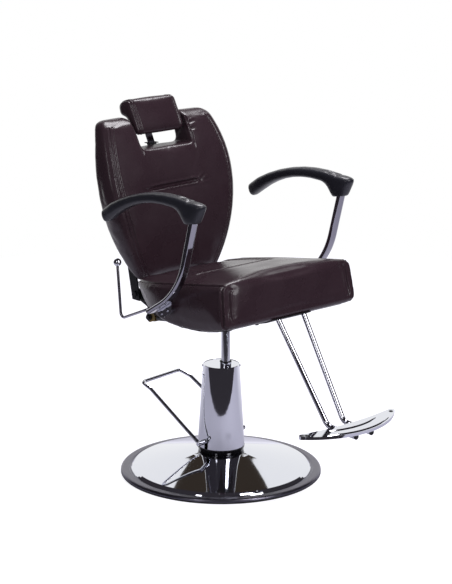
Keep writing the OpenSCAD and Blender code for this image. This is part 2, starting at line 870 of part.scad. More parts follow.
module arm_pad_shape() {
    c = soft_loop(6, 4, 3.2);
    n = len(pad_pairs);
    sizes = [for (i = [0:n - 1]) i == 0 ? 4 : i == 1 ? 0.5 : i == n - 1 ? 3 : 0];
    rings = [for (i = [0:n - 1]) [for (p = c) pad_point(pad_pairs[i], p, sizes[i])]];
    skin(rings, pad_point(pad_pairs[0], [0, 0], 0), pad_rear_point());
}

function middle(pair) = (pair[0] + pair[1]) / 2;
function pad_point(pair, c, edge) = let(
    half = (pair[0] - pair[1]) / 2,
    p = middle(pair) + half * c.y * (1 - edge / norm(half))
) [c.x * (pad_w / 2 - edge), p.x, p.y];
function pad_rear_point() = let(m = middle(pad_pairs[len(pad_pairs) - 1])) [0, m.x + 8, m.y - 8];

module arm_pad(hand) {
    on_seat() mirror([hand, 0, 0]) translate([arm_x, 0, 0]) difference() {
        arm_pad_shape();
        arm_run();
    }
}

module arm_pad_left() {
    color(soft_black) arm_pad(0);
}

module arm_pad_right() {
    color(soft_black) arm_pad(1);
}

// ---- Footrest ----

bracket_half = 74;
bracket_t = rail_flange_t;
bracket_bolt_y = -215;
bracket_line = concat([[-299, 41.5]], [for (i = [0:2]) [board_y(i), board_under(board_y(i))]]);
leg_foot_z = -plate_drop - plate_t - leg_d / 2 - 2;
leg_top = [50, -292, 38];
leg_knee = [31.6, -479, leg_foot_z + 5];
leg_end = [30.3, -588, leg_foot_z];
leg_bend = 34;
cap_l = 8;

module bracket_outline(down) {
    n = len(bracket_line) - 1;
    polygon(concat(bracket_line, [for (i = [n:-1:0]) bracket_line[i] - [0, down]]));
}

module footrest_bracket() {
    color(black_steel) on_seat() difference() {
        across(-bracket_half, bracket_half) bracket_outline(bracket_t);
        board_bolt_holes();
    }
}

// The tubes end flush with the bracket's underside
module footrest_tube(hand) {
    under = [for (p = bracket_line) p - [0, bracket_t]];
    on_seat() mirror([hand, 0, 0]) difference() {
        bent_bar([leg_top + unit(leg_top - leg_knee) * 6, leg_knee, leg_end], leg_d / 2, leg_bend);
        across(0, 100) polygon([[0, 200], [-320, 200], [-320, under[0].y], under[0], under[1], [0, 0]]);
        along(leg_end, leg_knee) translate([0, 0, -1]) cylinder(h = cap_l, d = leg_d - 3);
    }
}

module footrest_tube_left() {
    color(chrome) footrest_tube(0);
}

module footrest_tube_right() {
    color(chrome) footrest_tube(1);
}

module tube_caps() {
    color(soft_black) on_seat() for (side = [0, 1]) mirror([side, 0, 0]) along(leg_end, leg_knee) {
        translate([0, 0, -1]) cylinder(h = cap_l, d = leg_d - 3);
        translate([0, 0, -3]) cylinder(h = 3, d = leg_d);
        translate([0, 0, -6]) cylinder(h = 3, d1 = leg_d - 8, d2 = leg_d);
    }
}

// Runs children in the foot plate's own plane, which lies on the tubes
module on_legs() {
    tilt = atan((leg_knee.z - leg_end.z) / (leg_knee.y - leg_end.y));
    lift = leg_d / 2 / cos(tilt);
    translate([0, leg_end.y, seat_z + leg_end.z + lift]) rotate([tilt, 0, 0]) translate([0, -leg_end.y, 0])
        children();
}

toe_c = -321;
toe_r = 280;
heel_r = 1039;
heel_y = toe_c - toe_r + plate_depth;

module plate_outline() {
    half = plate_w / 2;
    end_r = 9;
    intersection() {
        difference() {
            translate([0, toe_c]) circle(r = toe_r, $fn = 180);
            translate([0, heel_y + heel_r]) circle(r = heel_r, $fn = 360);
        }
        union() {
            translate([0, heel_y]) square([2 * (half - end_r), 240], center = true);
            for (side = [-1, 1]) translate([side * (half - end_r), heel_y + 4]) circle(r = end_r + 2);
        }
    }
}

module toe_rib(r, half) {
    a = asin(half / r);
    translate([0, toe_c, plate_t]) rotate([0, 0, 270 - a]) rotate_extrude(angle = 2 * a, $fn = 180)
        polygon([[r - 3, 0], [r + 3, 0], [r + 2, 2.2], [r + 1, 2.8], [r - 1, 2.8], [r - 2, 2.2]]);
}

module footplate() {
    color(chrome) on_legs() difference() {
        union() {
            linear_extrude(plate_t) plate_outline();
            toe_rib(272, 120);
            toe_rib(240, 90);
        }
        plug_places() translate([0, 0, -1]) cylinder(h = plate_t + 2, d = 8, $fn = 32);
    }
}

module plug_places() {
    for (side = [-1, 1]) translate([side * (plate_w / 2 - 18), heel_y - 2, 0]) children();
}

module footplate_plugs() {
    color(soft_black) on_legs() plug_places() {
        cylinder(h = plate_t, d = 8, $fn = 32);
        translate([0, 0, plate_t]) cylinder(h = 1.6, d1 = 13, d2 = 9, $fn = 32);
    }
}

// ---- Recline ----

back_board_out = back_board_in + back_board_t;
bar_foot = 12;
bar_head = 240;
tab_foot = 140;
tab_w = 24;
tab_t = 4;

// Keeps what lies between two heights
module between(z0, z1) {
    intersection() {
        children();
        translate([pivot.x - 114, z0]) square([300, z1 - z0]);
    }
}

// The bar leans back below and then follows the board
module bar_line() {
    between(bar_foot, bar_head) translate(pivot) rotate(-bar_lean) translate([-bar_w / 2, -60])
        square([bar_w, 190]);
    between(bar_head - 110, bar_head) back_band(back_board_out, back_board_out + 18);
}

// The tab that is screwed to the board
module bar_tab() {
    across(bar_in - tab_w, bar_in) between(tab_foot, bar_head)
        back_band(back_board_out, back_board_out + tab_t);
}

module back_bar(hand) {
    on_seat() mirror([hand, 0, 0]) {
        across(bar_in, bar_out) difference() {
            bar_line();
            between(back_board_foot - 3, 522) back_band(-60, back_board_out);
            translate(pivot) circle(d = pivot_d - 4);
        }
        bar_tab();
    }
}

function back_front(z) = back_cy - sqrt(back_r ^ 2 - (z - back_cz) ^ 2);
function behind(d, z) = [back_front(z) + d, z];

// Band behind the backrest's bowed front, between two depths
module back_band(d0, d1) {
    zs = [for (i = [0:14]) 40 + 36 * i];
    polygon(concat([for (z = zs) behind(d0, z)], [for (i = [14:-1:0]) behind(d1, zs[i])]));
}

module back_bar_left() {
    color(soft_black) back_bar(0);
}

module back_bar_right() {
    color(soft_black) back_bar(1);
}

module recline_crank() {
    side_gap = 0.3;
    collar_l = bar_in - rail_out - side_gap;
    color(black_steel) on_seat() difference() {
        union() {
            cross_pin(-bar_in, bar_in, pivot, pivot_d);
            for (x = [rail_out + side_gap, -bar_in]) cross_pin(x, x + collar_l, pivot, pivot_d + 8);
            across(strut_x - 3, strut_x + 3) difference() {
                union() {
                    translate(pivot) circle(r = pivot_d / 2 + 5);
                    translate(crank_pin) circle(r = 12);
                    polygon([pivot + [-13, 0], pivot + [13, 0], crank_pin + [12, 0], crank_pin + [-12, 0]]);
                }
                translate(crank_pin) circle(d = link_pin_d);
            }
        }
        for (x = [-bar_in - 1, bar_in - 23]) cross_pin(x, x + 24, pivot, link_pin_d);
    }
}

module recline_bolts() {
    color(chrome) on_seat() for (side = [0, 1]) mirror([side, 0, 0]) {
        cross_pin(bar_in - 22, bar_in, pivot, link_pin_d);
        cross_pin(bar_in, bar_out, pivot, pivot_d - 4);
        translate([bar_out, pivot.x, pivot.y]) rotate([0, 90, 0]) cylinder(h = 6, d = 20, $fn = 6);
    }
}

// Offsets that share the strut's slip at the crank pin between the ends and the middle of the travel
eye_slip = [-1.2, -3];
eye_d = 15.8;
strut_axis = unit(crank_pin - strut_eye);
strut_l = norm(crank_pin - strut_eye);
fork_l = 24;
fork_neck = 8;
cyl_l = 82;
strut_rod_d = 8;

module on_strut() {
    along([strut_x, strut_eye.x, strut_eye.y], [strut_x, crank_pin.x, crank_pin.y]) children();
}

module crank_bolt() {
    color(chrome) on_seat() {
        cross_pin(strut_x - 13, strut_x + 13, crank_pin, link_pin_d);
        for (x = [strut_x - 13, strut_x + 11.5]) cross_pin(x, x + 1.5, crank_pin, 22);
        for (x = [strut_x - 18.5, strut_x + 13]) translate([x, crank_pin.x, crank_pin.y]) rotate([0, 90, 0])
            cylinder(h = 5.5, d = 14, $fn = 6);
    }
}

module strut_fork() {
    eye = [crank_pin.x, crank_pin.y] + eye_slip.x * strut_axis + eye_slip.y * [-strut_axis.y, strut_axis.x];
    foot = strut_eye + strut_axis * (strut_l - fork_l);
    dir = atan2(strut_axis.y, strut_axis.x);
    color(zinc) on_seat() {
        for (x = [strut_x - 10.5, strut_x + 5]) across(x, x + 5.5) difference() {
            union() {
                translate(eye) circle(r = 12);
                translate(foot) rotate(dir) translate([-2, -12]) square([fork_l - 1, 24]);
            }
            translate(eye) circle(d = eye_d);
        }
        across(strut_x - 10.5, strut_x + 10.5) translate(foot) rotate(dir) translate([-2, -12]) square([8, 24]);
        on_strut() translate([0, 0, strut_l - fork_l - fork_neck]) cylinder(h = fork_neck, d = 16, $fn = 6);
    }
}

module strut_cylinder() {
    foot = strut_l - fork_l - fork_neck - cyl_l;
    color(soft_black) on_seat() on_strut() difference() {
        translate([0, 0, foot]) cylinder(h = cyl_l, d = strut_d);
        translate([0, 0, foot - 10]) cylinder(h = cyl_l, d = strut_rod_d + 2 * run_gap, $fn = 32);
    }
}

module strut_rod() {
    color(chrome) on_seat() on_strut() translate([0, 0, 12]) cylinder(h = 79, d = strut_rod_d, $fn = 32);
}

module strut_head() {
    color(black_steel) on_seat() difference() {
        union() {
            across(strut_x - 9, strut_x + 9) translate(strut_eye) circle(r = 11);
            on_strut() cylinder(h = 18, d = 16, $fn = 32);
            translate([strut_x, strut_eye.x, strut_eye.y + 10]) cylinder(h = release_pin_h, d = 6, $fn = 24);
        }
        cross_pin(strut_x - 10, strut_x + 10, strut_eye, link_pin_d + 2 * run_gap);
        on_strut() translate([0, 0, 12]) cylinder(h = 20, d = strut_rod_d, $fn = 32);
    }
}

// Two cheeks under the board hold the pin of the strut's head
module strut_anchor() {
    color(black_steel) on_seat() {
        cross_pin(strut_x - 16, strut_x + 16, strut_eye, link_pin_d);
        for (x = [strut_x - 13, strut_x + 9.3]) across(x, x + 3.7) polygon([
            strut_eye + [-10, -8], strut_eye + [10, -8], [strut_eye.x + 14, board_under(34)],
            [strut_eye.x - 3, board_under(17)], [strut_eye.x - 14, board_under(6)]
        ]);
    }
}

module recline_lever() {
    color(chrome) on_seat() {
        bent_bar([
            [strut_x + 8, lever_y, lever_z], [lever_x, lever_y, lever_z], lever_knee, lever_tip
        ], lever_d / 2, 13);
        finger();
    }
}

// The finger that presses the strut's release pin
module finger() {
    tip = [strut_eye.x, lever_z - 14];
    across(strut_x - 5, strut_x + 5) polygon([
        [lever_y + 8, lever_z - 5], [lever_y + 8, lever_z + 5], [lever_y - 8, lever_z + 6],
        tip + [4, 7], tip + [-6, 2], tip + [-6, -1.5], tip + [6, 1], [lever_y - 8, lever_z - 5]
    ]);
}

module lever_knob() {
    color(soft_black) on_seat() difference() {
        translate(lever_tip + [0, 0, 8]) sphere(d = ball_d, $fn = 48);
        along(lever_knee, lever_tip) cylinder(h = norm(lever_tip - lever_knee), d = lever_d);
    }
}

// ---- Backrest ----

function back_half(z) = back_w / 2 - (z < back_wide_z ? 9.1e-4 : 1.36e-3) * (z - back_wide_z) ^ 2;
back_rear_curve = [behind(30.7, back_foot_z), behind(159, 240), behind(65.4, 428), behind(67, 534)];
function rear_t(z, lo = 0, hi = 1, n = 14) = let(m = (lo + hi) / 2)
    n == 0 ? m : bezier(back_rear_curve, m).y < z ? rear_t(z, m, hi, n - 1) : rear_t(z, lo, m, n - 1);
function back_rear(z) = bezier(back_rear_curve, rear_t(z)).x + back_t - 113;
function back_waist(x, z) = back_tuck * exp(-((z - 345) / 9) ^ 2) * ramp(132 - abs(x + 22), 30);

function back_point(z, c, edge) = let(
    y0 = back_front(z),
    y1 = back_rear(z),
    x = c.x * (back_half(z) - edge),
    half = (y1 - y0) / 2,
    y = (y0 + y1) / 2 + c.y * (half - edge),
    front = max(0, -c.y) * (back_hollow * (1 - c.x ^ 2) + back_waist(x, z)),
    rear = max(0, c.y) * back_crown * (1 - c.x ^ 2) * ramp(z - 66, 60)
) [x, y + front + rear, z];

module back_body() {
    c = soft_loop(18, 6, 7);
    z0 = back_foot_z;
    z1 = back_top;
    stations = concat(
        [[z0, 9], [z0 + 3, 3], [z0 + 10, 0]],
        [for (z = [z0 + 35:35:310]) [z, 0]], [[325, 0], [336, 0], [345, 0], [354, 0], [365, 0]],
        [for (i = [1:4]) [365 + (z1 - 22 - 365) * i / 4, 0]],
        [[z1 - 10, 3], [z1 - 3, 10], [z1, 20]]
    );
    rings = [for (s = stations) [for (p = c) back_point(s[0], p, s[1])]];
    skin(rings, back_point(z0, [0, 0], 0), back_point(z1, [0, 0], 0));
}

module back_notch(wood) {
    half = notch_w / 2 + wood;
    across(-half, half) translate([back_cy - back_r - 20, notch_floor - wood]) square([350, 200]);
}

// The board follows the front's bow, and its outline keeps inside the cushion's
module back_board_blank() {
    n = 9;
    step = 43;
    zs = [for (i = [0:n]) back_board_foot + step * i];
    difference() {
        intersection() {
            across(-back_w / 2, back_w / 2) back_band(back_board_in, back_board_out);
            translate([0, back_cy - back_r + 250, 0]) rotate([90, 0, 0]) linear_extrude(320) polygon(concat(
                [for (z = zs) [back_half(z) - back_board_edge, z]],
                [for (i = [n:-1:0]) [back_board_edge - back_half(zs[i]), zs[i]]]
            ));
        }
        back_notch(notch_wood);
    }
}

module backrest_board() {
    color(ply) on_seat() difference() {
        back_board_blank();
        guide_hole(guide_w / 2 + 1);
    }
}

module backrest_cushion() {
    color(vinyl) on_seat() difference() {
        back_body();
        back_notch(0);
        back_board_blank();
        for (side = [0, 1]) mirror([side, 0, 0]) {
            across(bar_in, bar_out) bar_line();
            bar_tab();
        }
        guide_hole(guide_w / 2);
    }
}

// ---- Head pad ----

lean_foot = [0, 315.9, 452];
guide_wall = 2.5;
guide_w = post_w + 2 * (guide_wall + run_gap);

module on_lean() {
    translate(lean_foot) rotate([-lean, 0, 0]) children();
}

module guide_hole(half) {
    t = post_t + 2 * (guide_wall + run_gap);
    on_lean() translate([-half, -t / 2, -guide_l]) cube([2 * half, t, guide_l + 14]);
}

module headrest_guide() {
    t = post_t + 2 * (guide_wall + run_gap);
    color(soft_black) on_seat() difference() {
        union() {
            intersection() {
                guide_hole(guide_w / 2);
                translate([-50, 200, 300]) cube([100, 200, notch_floor - 300]);
            }
            translate([-guide_w / 2 - 5, lean_foot.y - 11, notch_floor]) cube([guide_w + 10, 22, 2]);
        }
        on_lean() translate([-post_w / 2 - run_gap, -post_t / 2 - run_gap, -guide_l - 1])
            cube([post_w + 2 * run_gap, post_t + 2 * run_gap, guide_l + 40]);
    }
}

module post_side() {
    rise = 92;
    translate([lean_foot.y, lean_foot.z]) {
        rotate(-lean) translate([-post_t / 2, -guide_l + 6]) square([post_t, guide_l - 6 + rise]);
        translate(rise * [sin(lean), cos(lean)]) {
            circle(r = post_t / 2);
            translate([-post_t / 2, 0]) square([post_t, 24]);
        }
    }
}

module headrest_post() {
    color(chrome) on_seat() across(-post_w / 2, post_w / 2) post_side();
}

// The pad's side outline: its top, rear, the lip's rear, the lip and the face
head_line = [
    [304.6, 580], [310, 589], [318, 594], [336, 592], [353, 586], [362, 580],
    [367, 571], [366, 558], [362, 545], [355, 538], [344, 536],
    [334, 534], [322, 524], [309, 506], [297, 491],
    [287, 486], [277, 487], [268, 496], [266, 508],
    [275, 528], [286, 548], [295, 563]
];
head_mid = [322, 556];
lip_mid = [283, 506];

// Draws the outline in towards a spine from the lip to the head
function spine_near(p) = let(d = head_mid - lip_mid)
    lip_mid + min(1, max(0, (p - lip_mid) * d / (d * d))) * d;
function head_point(p, x, edge) = let(q = spine_near(p), s = q + (p - q) * (1 - edge / norm(p - q)))
    [x, s.x, s.y];

module head_shape() {
    half = head_w / 2;
    stations = [[half, 13], [half - 2, 6], [half - 7, 1.5], [half - 16, 0], [half - 50, -1], [0, -2]];
    sides = concat([for (s = stations) [-s[0], s[1]]], [for (i = [4:-1:0]) [stations[i][0], stations[i][1]]]);
    n = len(head_line);
    rings = [for (s = sides) [for (i = [0:n - 1]) head_point(head_line[i], s[0], s[1])]];
    centre = (head_mid + lip_mid) / 2;
    skin(rings, [-half, centre.x, centre.y], [half, centre.x, centre.y]);
}

module headrest_pad() {
    color(vinyl) on_seat() difference() {
        head_shape();
        across(-post_w / 2, post_w / 2) post_side();
    }
}

// ---- Placement ----

base_dish();
base_edge_ring();
base_plate();
base_bolts();
pump_housing();
reservoir_tube();
inner_cylinder();
gland_nut();
rod_wiper();
pump_cover();
cover_lid();
cover_foot_ring();
cover_screws();
pedal_bail();
pedal_hubs();
pedal_shaft();
pump_plunger();
piston_rod();
thrust_washer();
seat_cushion();
seat_board();
seat_side_rails();
frame_rail_left();
frame_rail_right();
seat_socket();
frame_bolts();
recline_bolts();
strut_anchor();
arm_tube_left();
arm_tube_right();
arm_pad_left();
arm_pad_right();
arm_mount_left();
arm_mount_right();
arm_bolts();
arm_end_plugs();
footrest_bracket();
footrest_tube_left();
footrest_tube_right();
footplate();
footplate_plugs();
tube_caps();
recline_lever();
lever_knob();
strut_head();
strut_rod();
strut_cylinder();
strut_fork();
backrest_cushion();
backrest_board();
back_bar_left();
back_bar_right();
recline_crank();
crank_bolt();
headrest_guide();
headrest_post();
headrest_pad();
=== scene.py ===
# %% [markdown]
# A hydraulic barber chair: a dished chrome base, a pump under a tapered cover, a vinyl seat and
# backrest that recline, flat-oval chrome arms with moulded pads, and a footrest on two tubes.
# The moving frame comes finished from the CAD model. These cells dress it: they light it, give
# every part its finish, and build the upholstery that a CAD solid can only hint at.

# %% Load the frame
import bmesh
import bpy
import math
from mathutils import Matrix, Vector
from mathutils.bvhtree import BVHTree
from mathutils.kdtree import KDTree


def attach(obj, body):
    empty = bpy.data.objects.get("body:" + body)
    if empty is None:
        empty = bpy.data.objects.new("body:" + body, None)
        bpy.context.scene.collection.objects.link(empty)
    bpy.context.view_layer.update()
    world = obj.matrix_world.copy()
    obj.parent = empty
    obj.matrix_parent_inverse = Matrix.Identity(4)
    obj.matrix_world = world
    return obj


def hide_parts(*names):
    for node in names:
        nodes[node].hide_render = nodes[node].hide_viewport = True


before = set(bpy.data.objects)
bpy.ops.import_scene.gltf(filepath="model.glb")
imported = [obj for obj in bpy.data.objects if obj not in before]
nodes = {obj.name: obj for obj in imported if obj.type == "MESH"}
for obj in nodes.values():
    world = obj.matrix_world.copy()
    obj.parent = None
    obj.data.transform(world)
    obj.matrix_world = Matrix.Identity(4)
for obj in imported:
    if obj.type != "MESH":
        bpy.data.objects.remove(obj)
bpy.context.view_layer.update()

# %% [markdown]
# Everything is in metres, with the floor at zero, the chair facing -Y and the sitter's left at +X.
# A seat frame could be drawn in metres too, but a maker thinks of it in millimetres above its own
# datum. So the upholstery is drawn that way, and one function turns a drawn point into a place in
# the room.

# %% Units
MM = 0.001
SEAT_HEIGHT = 500


def at_seat(x, y, z):
    """Turns a point in mm on the seat frame into a place in the room."""
    return Vector((x * MM, y * MM, (z + SEAT_HEIGHT) * MM))


def ramp(x, width):
    """Rises from 0 to 1 while x goes from 0 to width."""
    return min(1, max(0, x / width))


print("seat frame at", SEAT_HEIGHT, "mm")

# %% [markdown]
# The camera looks down a little from the chair's right front. A wide lens close up would spread
# the base and shrink the head pad, so it is a long lens from six metres away, as for a catalogue
# picture, and the upright lines stay nearly parallel.

# %% Camera
AZIMUTH = math.radians(-42.318)
ELEVATION = math.radians(14.385)
ROLL = math.radians(0.258)
EYE = Vector((-3.9296, -4.3349, 2.0520))
LENS = 126.66
SENSOR_WIDTH = 36
CHAIR_MIDDLE = Vector((0, 0, 0.55))

right = Vector((math.cos(AZIMUTH), math.sin(AZIMUTH), 0))
back = Vector((math.sin(AZIMUTH) * math.cos(ELEVATION), -math.cos(AZIMUTH) * math.cos(ELEVATION),
               math.sin(ELEVATION)))
up = back.cross(right)
rolled_right = right * math.cos(ROLL) + up * math.sin(ROLL)
rolled_up = up * math.cos(ROLL) - right * math.sin(ROLL)
axes = Matrix((rolled_right, rolled_up, back))
camera = bpy.data.objects.new("camera", bpy.data.cameras.new("camera"))
camera.data.lens = LENS
camera.data.sensor_width = SENSOR_WIDTH
camera.matrix_world = Matrix.Translation(EYE) @ axes.transposed().to_4x4()
bpy.context.scene.collection.objects.link(camera)
bpy.context.scene.camera = camera
bpy.context.scene.view_settings.view_transform = "Standard"
print("camera", round((EYE - CHAIR_MIDDLE).length, 2), "m away")

# %% [markdown]
# Colours are written as sRGB hex values, and shaders want linear light, so one function does the
# turning. A material is a tree of nodes. Each node could be made by hand in three or four lines,
# so a second small function adds a node, sets it up and joins it to the nodes before it.

# %% Colour and node helpers
def srgb(code):
    """Turns an sRGB hex colour into linear RGBA."""
    parts = [int(code[i:i + 2], 16) / 255 for i in (1, 3, 5)]
    return (*[c / 12.92 if c <= 0.04045 else ((c + 0.055) / 1.055) ** 2.4 for c in parts], 1)


def add(tree, kind, inputs, **settings):
    """Adds a node, makes its settings, and sets or joins its inputs."""
    made = tree.nodes.new(kind)
    for name, value in settings.items():
        setattr(made, name, value)
    for name, value in inputs.items():
        if isinstance(value, bpy.types.NodeSocket):
            tree.links.new(value, made.inputs[name])
        else:
            made.inputs[name].default_value = value
    return made


def new_material(name, **shader):
    """A material with one Principled shader, whose sockets are set by name."""
    made = bpy.data.materials.new(name)
    made.use_nodes = True
    principled = made.node_tree.nodes["Principled BSDF"]
    for socket, value in shader.items():
        principled.inputs[socket.replace("_", " ")].default_value = value
    return made, made.node_tree, principled


print("white is", srgb("#ffffff")[0])

# %% [markdown]
# The studio is a white sweep of paper that ends in a dark room on the camera's side. Polished
# chrome has no colour of its own: it shows white where it faces the sweep and near black where it
# faces the room, and those two together are what makes it read as chrome. One white world would
# be simpler, and the metal would then look like grey plastic. The world is white only to the
# camera and to reflections. The light on the chair comes from soft lamps.

# %% World
AMBIENT = 0.55

world = bpy.data.worlds.new("studio")
bpy.context.scene.world = world
world.use_nodes = True
tree = world.node_tree
tree.nodes.clear()
path = add(tree, "ShaderNodeLightPath", {})
shiny = add(tree, "ShaderNodeMath",
            {0: path.outputs["Is Glossy Ray"], 1: path.outputs["Is Transmission Ray"]}, operation="MAXIMUM")
seen = add(tree, "ShaderNodeMath",
           {0: path.outputs["Is Camera Ray"], 1: shiny.outputs[0]}, operation="MAXIMUM")
soft = add(tree, "ShaderNodeBackground", {"Color": srgb("#f4f6fa"), "Strength": AMBIENT})
white = add(tree, "ShaderNodeBackground", {"Color": (1, 1, 1, 1), "Strength": 1})
mixed = add(tree, "ShaderNodeMixShader", {0: seen.outputs[0], 1: soft.outputs[0], 2: white.outputs[0]})
add(tree, "ShaderNodeOutputWorld", {"Surface": mixed.outputs[0]})
print("ambient light", AMBIENT)

# %% [markdown]
# The floor is a disc of lilac-grey paper under the chair. Its own colour catches the chair's
# shadow and shows in the dish as a pale grey. White paper would need more light to look white,
# and the chair would clip, so the paper glows a little for the camera alone. It also glows for
# reflections, more and more towards the back, where a real sweep curves up into its lamps.

# %% Floor
PAPER_GLOW = 0.75
BACK_GLOW = 0.45
BACK_GLOW_FROM = 0.25
BACK_GLOW_TO = 1.1
FLOOR_R = 2.0
FLOOR_BACK = 0.95
FLOOR_DROP = 0.0005

viewer = Vector((EYE.x, EYE.y, 0)).normalized()
floor_paper, tree, shader = new_material("white_sweep_paper", Base_Color=srgb("#b3b1be"), Roughness=0.9)
path = add(tree, "ShaderNodeLightPath", {})
glow = add(tree, "ShaderNodeMath", {0: path.outputs["Is Camera Ray"], 1: PAPER_GLOW}, operation="MULTIPLY")
place = add(tree, "ShaderNodeTexCoord", {})
depth = add(tree, "ShaderNodeVectorMath", {0: place.outputs["Object"], 1: -viewer}, operation="DOT_PRODUCT")
lit = add(tree, "ShaderNodeMapRange", {"Value": depth.outputs["Value"], "From Min": BACK_GLOW_FROM,
                                       "From Max": BACK_GLOW_TO, "To Min": 0, "To Max": BACK_GLOW})
far = add(tree, "ShaderNodeMath",
          {0: path.outputs["Is Glossy Ray"], 1: lit.outputs["Result"]}, operation="MULTIPLY")
glow = add(tree, "ShaderNodeMath", {0: glow.outputs[0], 1: far.outputs[0]}, operation="ADD")
paper_light = add(tree, "ShaderNodeEmission", {"Color": (1, 1, 1, 1), "Strength": glow.outputs[0]})
both = add(tree, "ShaderNodeAddShader", {0: shader.outputs[0], 1: paper_light.outputs[0]})
tree.links.new(both.outputs[0], tree.nodes["Material Output"].inputs["Surface"])

mesh = bpy.data.meshes.new("floor")
bm = bmesh.new()
bmesh.ops.create_circle(bm, cap_ends=True, segments=128, radius=FLOOR_R)
bmesh.ops.translate(bm, vec=viewer * -FLOOR_BACK, verts=bm.verts)
bm.to_mesh(mesh)
bm.free()
floor = bpy.data.objects.new("floor", mesh)
floor.location.z = -FLOOR_DROP
mesh.materials.append(floor_paper)
bpy.context.scene.collection.objects.link(floor)
print("floor", FLOOR_R, "m round")

# %% [markdown]
# The dark room is a piece of a big ball beyond the end of the sweep, on the camera's side, and a
# narrow brown curtain stands straight behind the chair, above the sweep. The curtain gives round
# tubes the dark line down their middle. Only reflections see the two. Planes cut each from a
# ball, because a ball keeps the same distance all round and has no corners to show in the metal.

# %% Dark room and curtain
ROOM_R = 6.0
ROOM_NEAR = 3.7
CURTAIN_R = 5.5
CURTAIN_FOOT = 2.5
CURTAIN_TURN = 13.7
SCREEN_LIFT = 0.25
sky = Vector((0, 0, 1))
aside = sky.cross(viewer)


def heading(turn):
    """The level direction that is turned to the right by some degrees from straight behind the chair."""
    return aside * math.sin(math.radians(turn)) - viewer * math.cos(math.radians(turn))


def backcloth(name, tone):
    """A cloth that shows one dim tone, whatever the lamps do."""
    return new_material(name, Base_Color=(0, 0, 0, 1), Roughness=1.0, Emission_Color=srgb(tone),
                        Emission_Strength=1, Specular_IOR_Level=0)[0]


def screen(name, ball_r, cloth, cuts):
    """A glossy-only piece of a big ball: each cut (normal, offset) keeps what lies beyond its plane."""
    mesh = bpy.data.meshes.new(name)
    bm = bmesh.new()
    bmesh.ops.create_uvsphere(bm, u_segments=128, v_segments=64, radius=ball_r)
    for normal, offset in cuts:
        bmesh.ops.bisect_plane(bm, geom=bm.verts[:] + bm.edges[:] + bm.faces[:], plane_co=normal * offset,
                               plane_no=normal, clear_inner=True)
    bmesh.ops.translate(bm, vec=(0, 0, SCREEN_LIFT), verts=bm.verts)
    bm.to_mesh(mesh)
    bm.free()
    made = bpy.data.objects.new(name, mesh)
    mesh.materials.append(cloth)
    bpy.context.scene.collection.objects.link(made)
    made.visible_camera = False
    made.visible_diffuse = False
    made.visible_shadow = False


screen("dark_room", ROOM_R, backcloth("dark_studio_cloth", "#343136"), [(viewer, -ROOM_NEAR)])
screen("dark_gap", CURTAIN_R, backcloth("brown_studio_curtain", "#37302a"),
       [(heading(90 - CURTAIN_TURN), 0), (heading(CURTAIN_TURN - 90), 0), (sky, CURTAIN_FOOT)])
print("brown curtain", 2 * CURTAIN_TURN, "degrees wide")

# %% [markdown]
# Three soft boxes light the chair: a square one overhead and a little behind, which gives the seat
# and the arms their sheen, and two tall ones on the camera's side, the right one the stronger.
# Small hard lamps would put a point of glare on each fold, where a soft box draws a long, quiet
# highlight.

# %% Lamps
LAMP_AIM = 0.5
LAMP_COLOUR = (0.985, 0.965, 1.0)


def soft_lamp(name, turn, rise, away, size, watts):
    """A soft box of a width and height, at a turn and a rise in degrees from the chair, some metres away."""
    lamp = bpy.data.lights.new(name, "AREA")
    lamp.shape = "RECTANGLE"
    lamp.size, lamp.size_y = size
    lamp.energy = watts
    lamp.color = LAMP_COLOUR
    holder = bpy.data.objects.new(name, lamp)
    toward = heading(turn) * math.cos(math.radians(rise)) + sky * math.sin(math.radians(rise))
    holder.location = toward * away + sky * LAMP_AIM
    holder.rotation_euler = (toward * -1).to_track_quat("-Z", "Y").to_euler()
    bpy.context.scene.collection.objects.link(holder)


soft_lamp("overhead", 12, 66, 2.6, (1.1, 1.1), 46)
soft_lamp("key_right", 134, 34, 3.0, (0.8, 2.2), 48)
soft_lamp("key_left", -152, 30, 3.0, (0.35, 1.8), 9)

# %% [markdown]
# Bright chrome plate is nickel and chromium over polished steel: a mirror with a cool tint, whose
# only texture is a very faint ripple from the polishing wheel. A perfect mirror would be one
# number, but the ripple bends reflections a little, which is what tells a real plated tube from a
# computed one. The arm tubes and the lever are duller plates of the same kind, and the arm tubes'
# plate is also painted darker: painted shade for the dark room the tubes reflect.

# %% Chrome
PLATE = "#dfe1e8"
RIPPLE_STRENGTH = 0.35
SMEARS_PER_METRE = 9.0


def ripple(tree, size_mm, depth_mm):
    """A bump whose waves are size_mm apart and depth_mm deep."""
    place = add(tree, "ShaderNodeTexCoord", {})
    waves = add(tree, "ShaderNodeTexNoise",
                {"Vector": place.outputs["Object"], "Scale": 1000 / size_mm, "Detail": 2.0})
    return add(tree, "ShaderNodeBump",
               {"Strength": RIPPLE_STRENGTH, "Distance": depth_mm * MM, "Height": waves.outputs["Fac"]})


def metal(name, colour, roughness, size_mm, depth_mm, smear):
    """A polished metal: its roughness varies by smear, as handling leaves it."""
    made, tree, shader = new_material(name, Base_Color=srgb(colour), Metallic=1.0)
    place = add(tree, "ShaderNodeTexCoord", {})
    cloud = add(tree, "ShaderNodeTexNoise",
                {"Vector": place.outputs["Object"], "Scale": SMEARS_PER_METRE, "Detail": 4.0})
    spread = add(tree, "ShaderNodeMapRange",
                 {"Value": cloud.outputs["Fac"], "From Min": 0.35, "From Max": 0.75,
                  "To Min": roughness, "To Max": roughness + smear})
    tree.links.new(spread.outputs["Result"], shader.inputs["Roughness"])
    tree.links.new(ripple(tree, size_mm, depth_mm).outputs["Normal"], shader.inputs["Normal"])
    return made


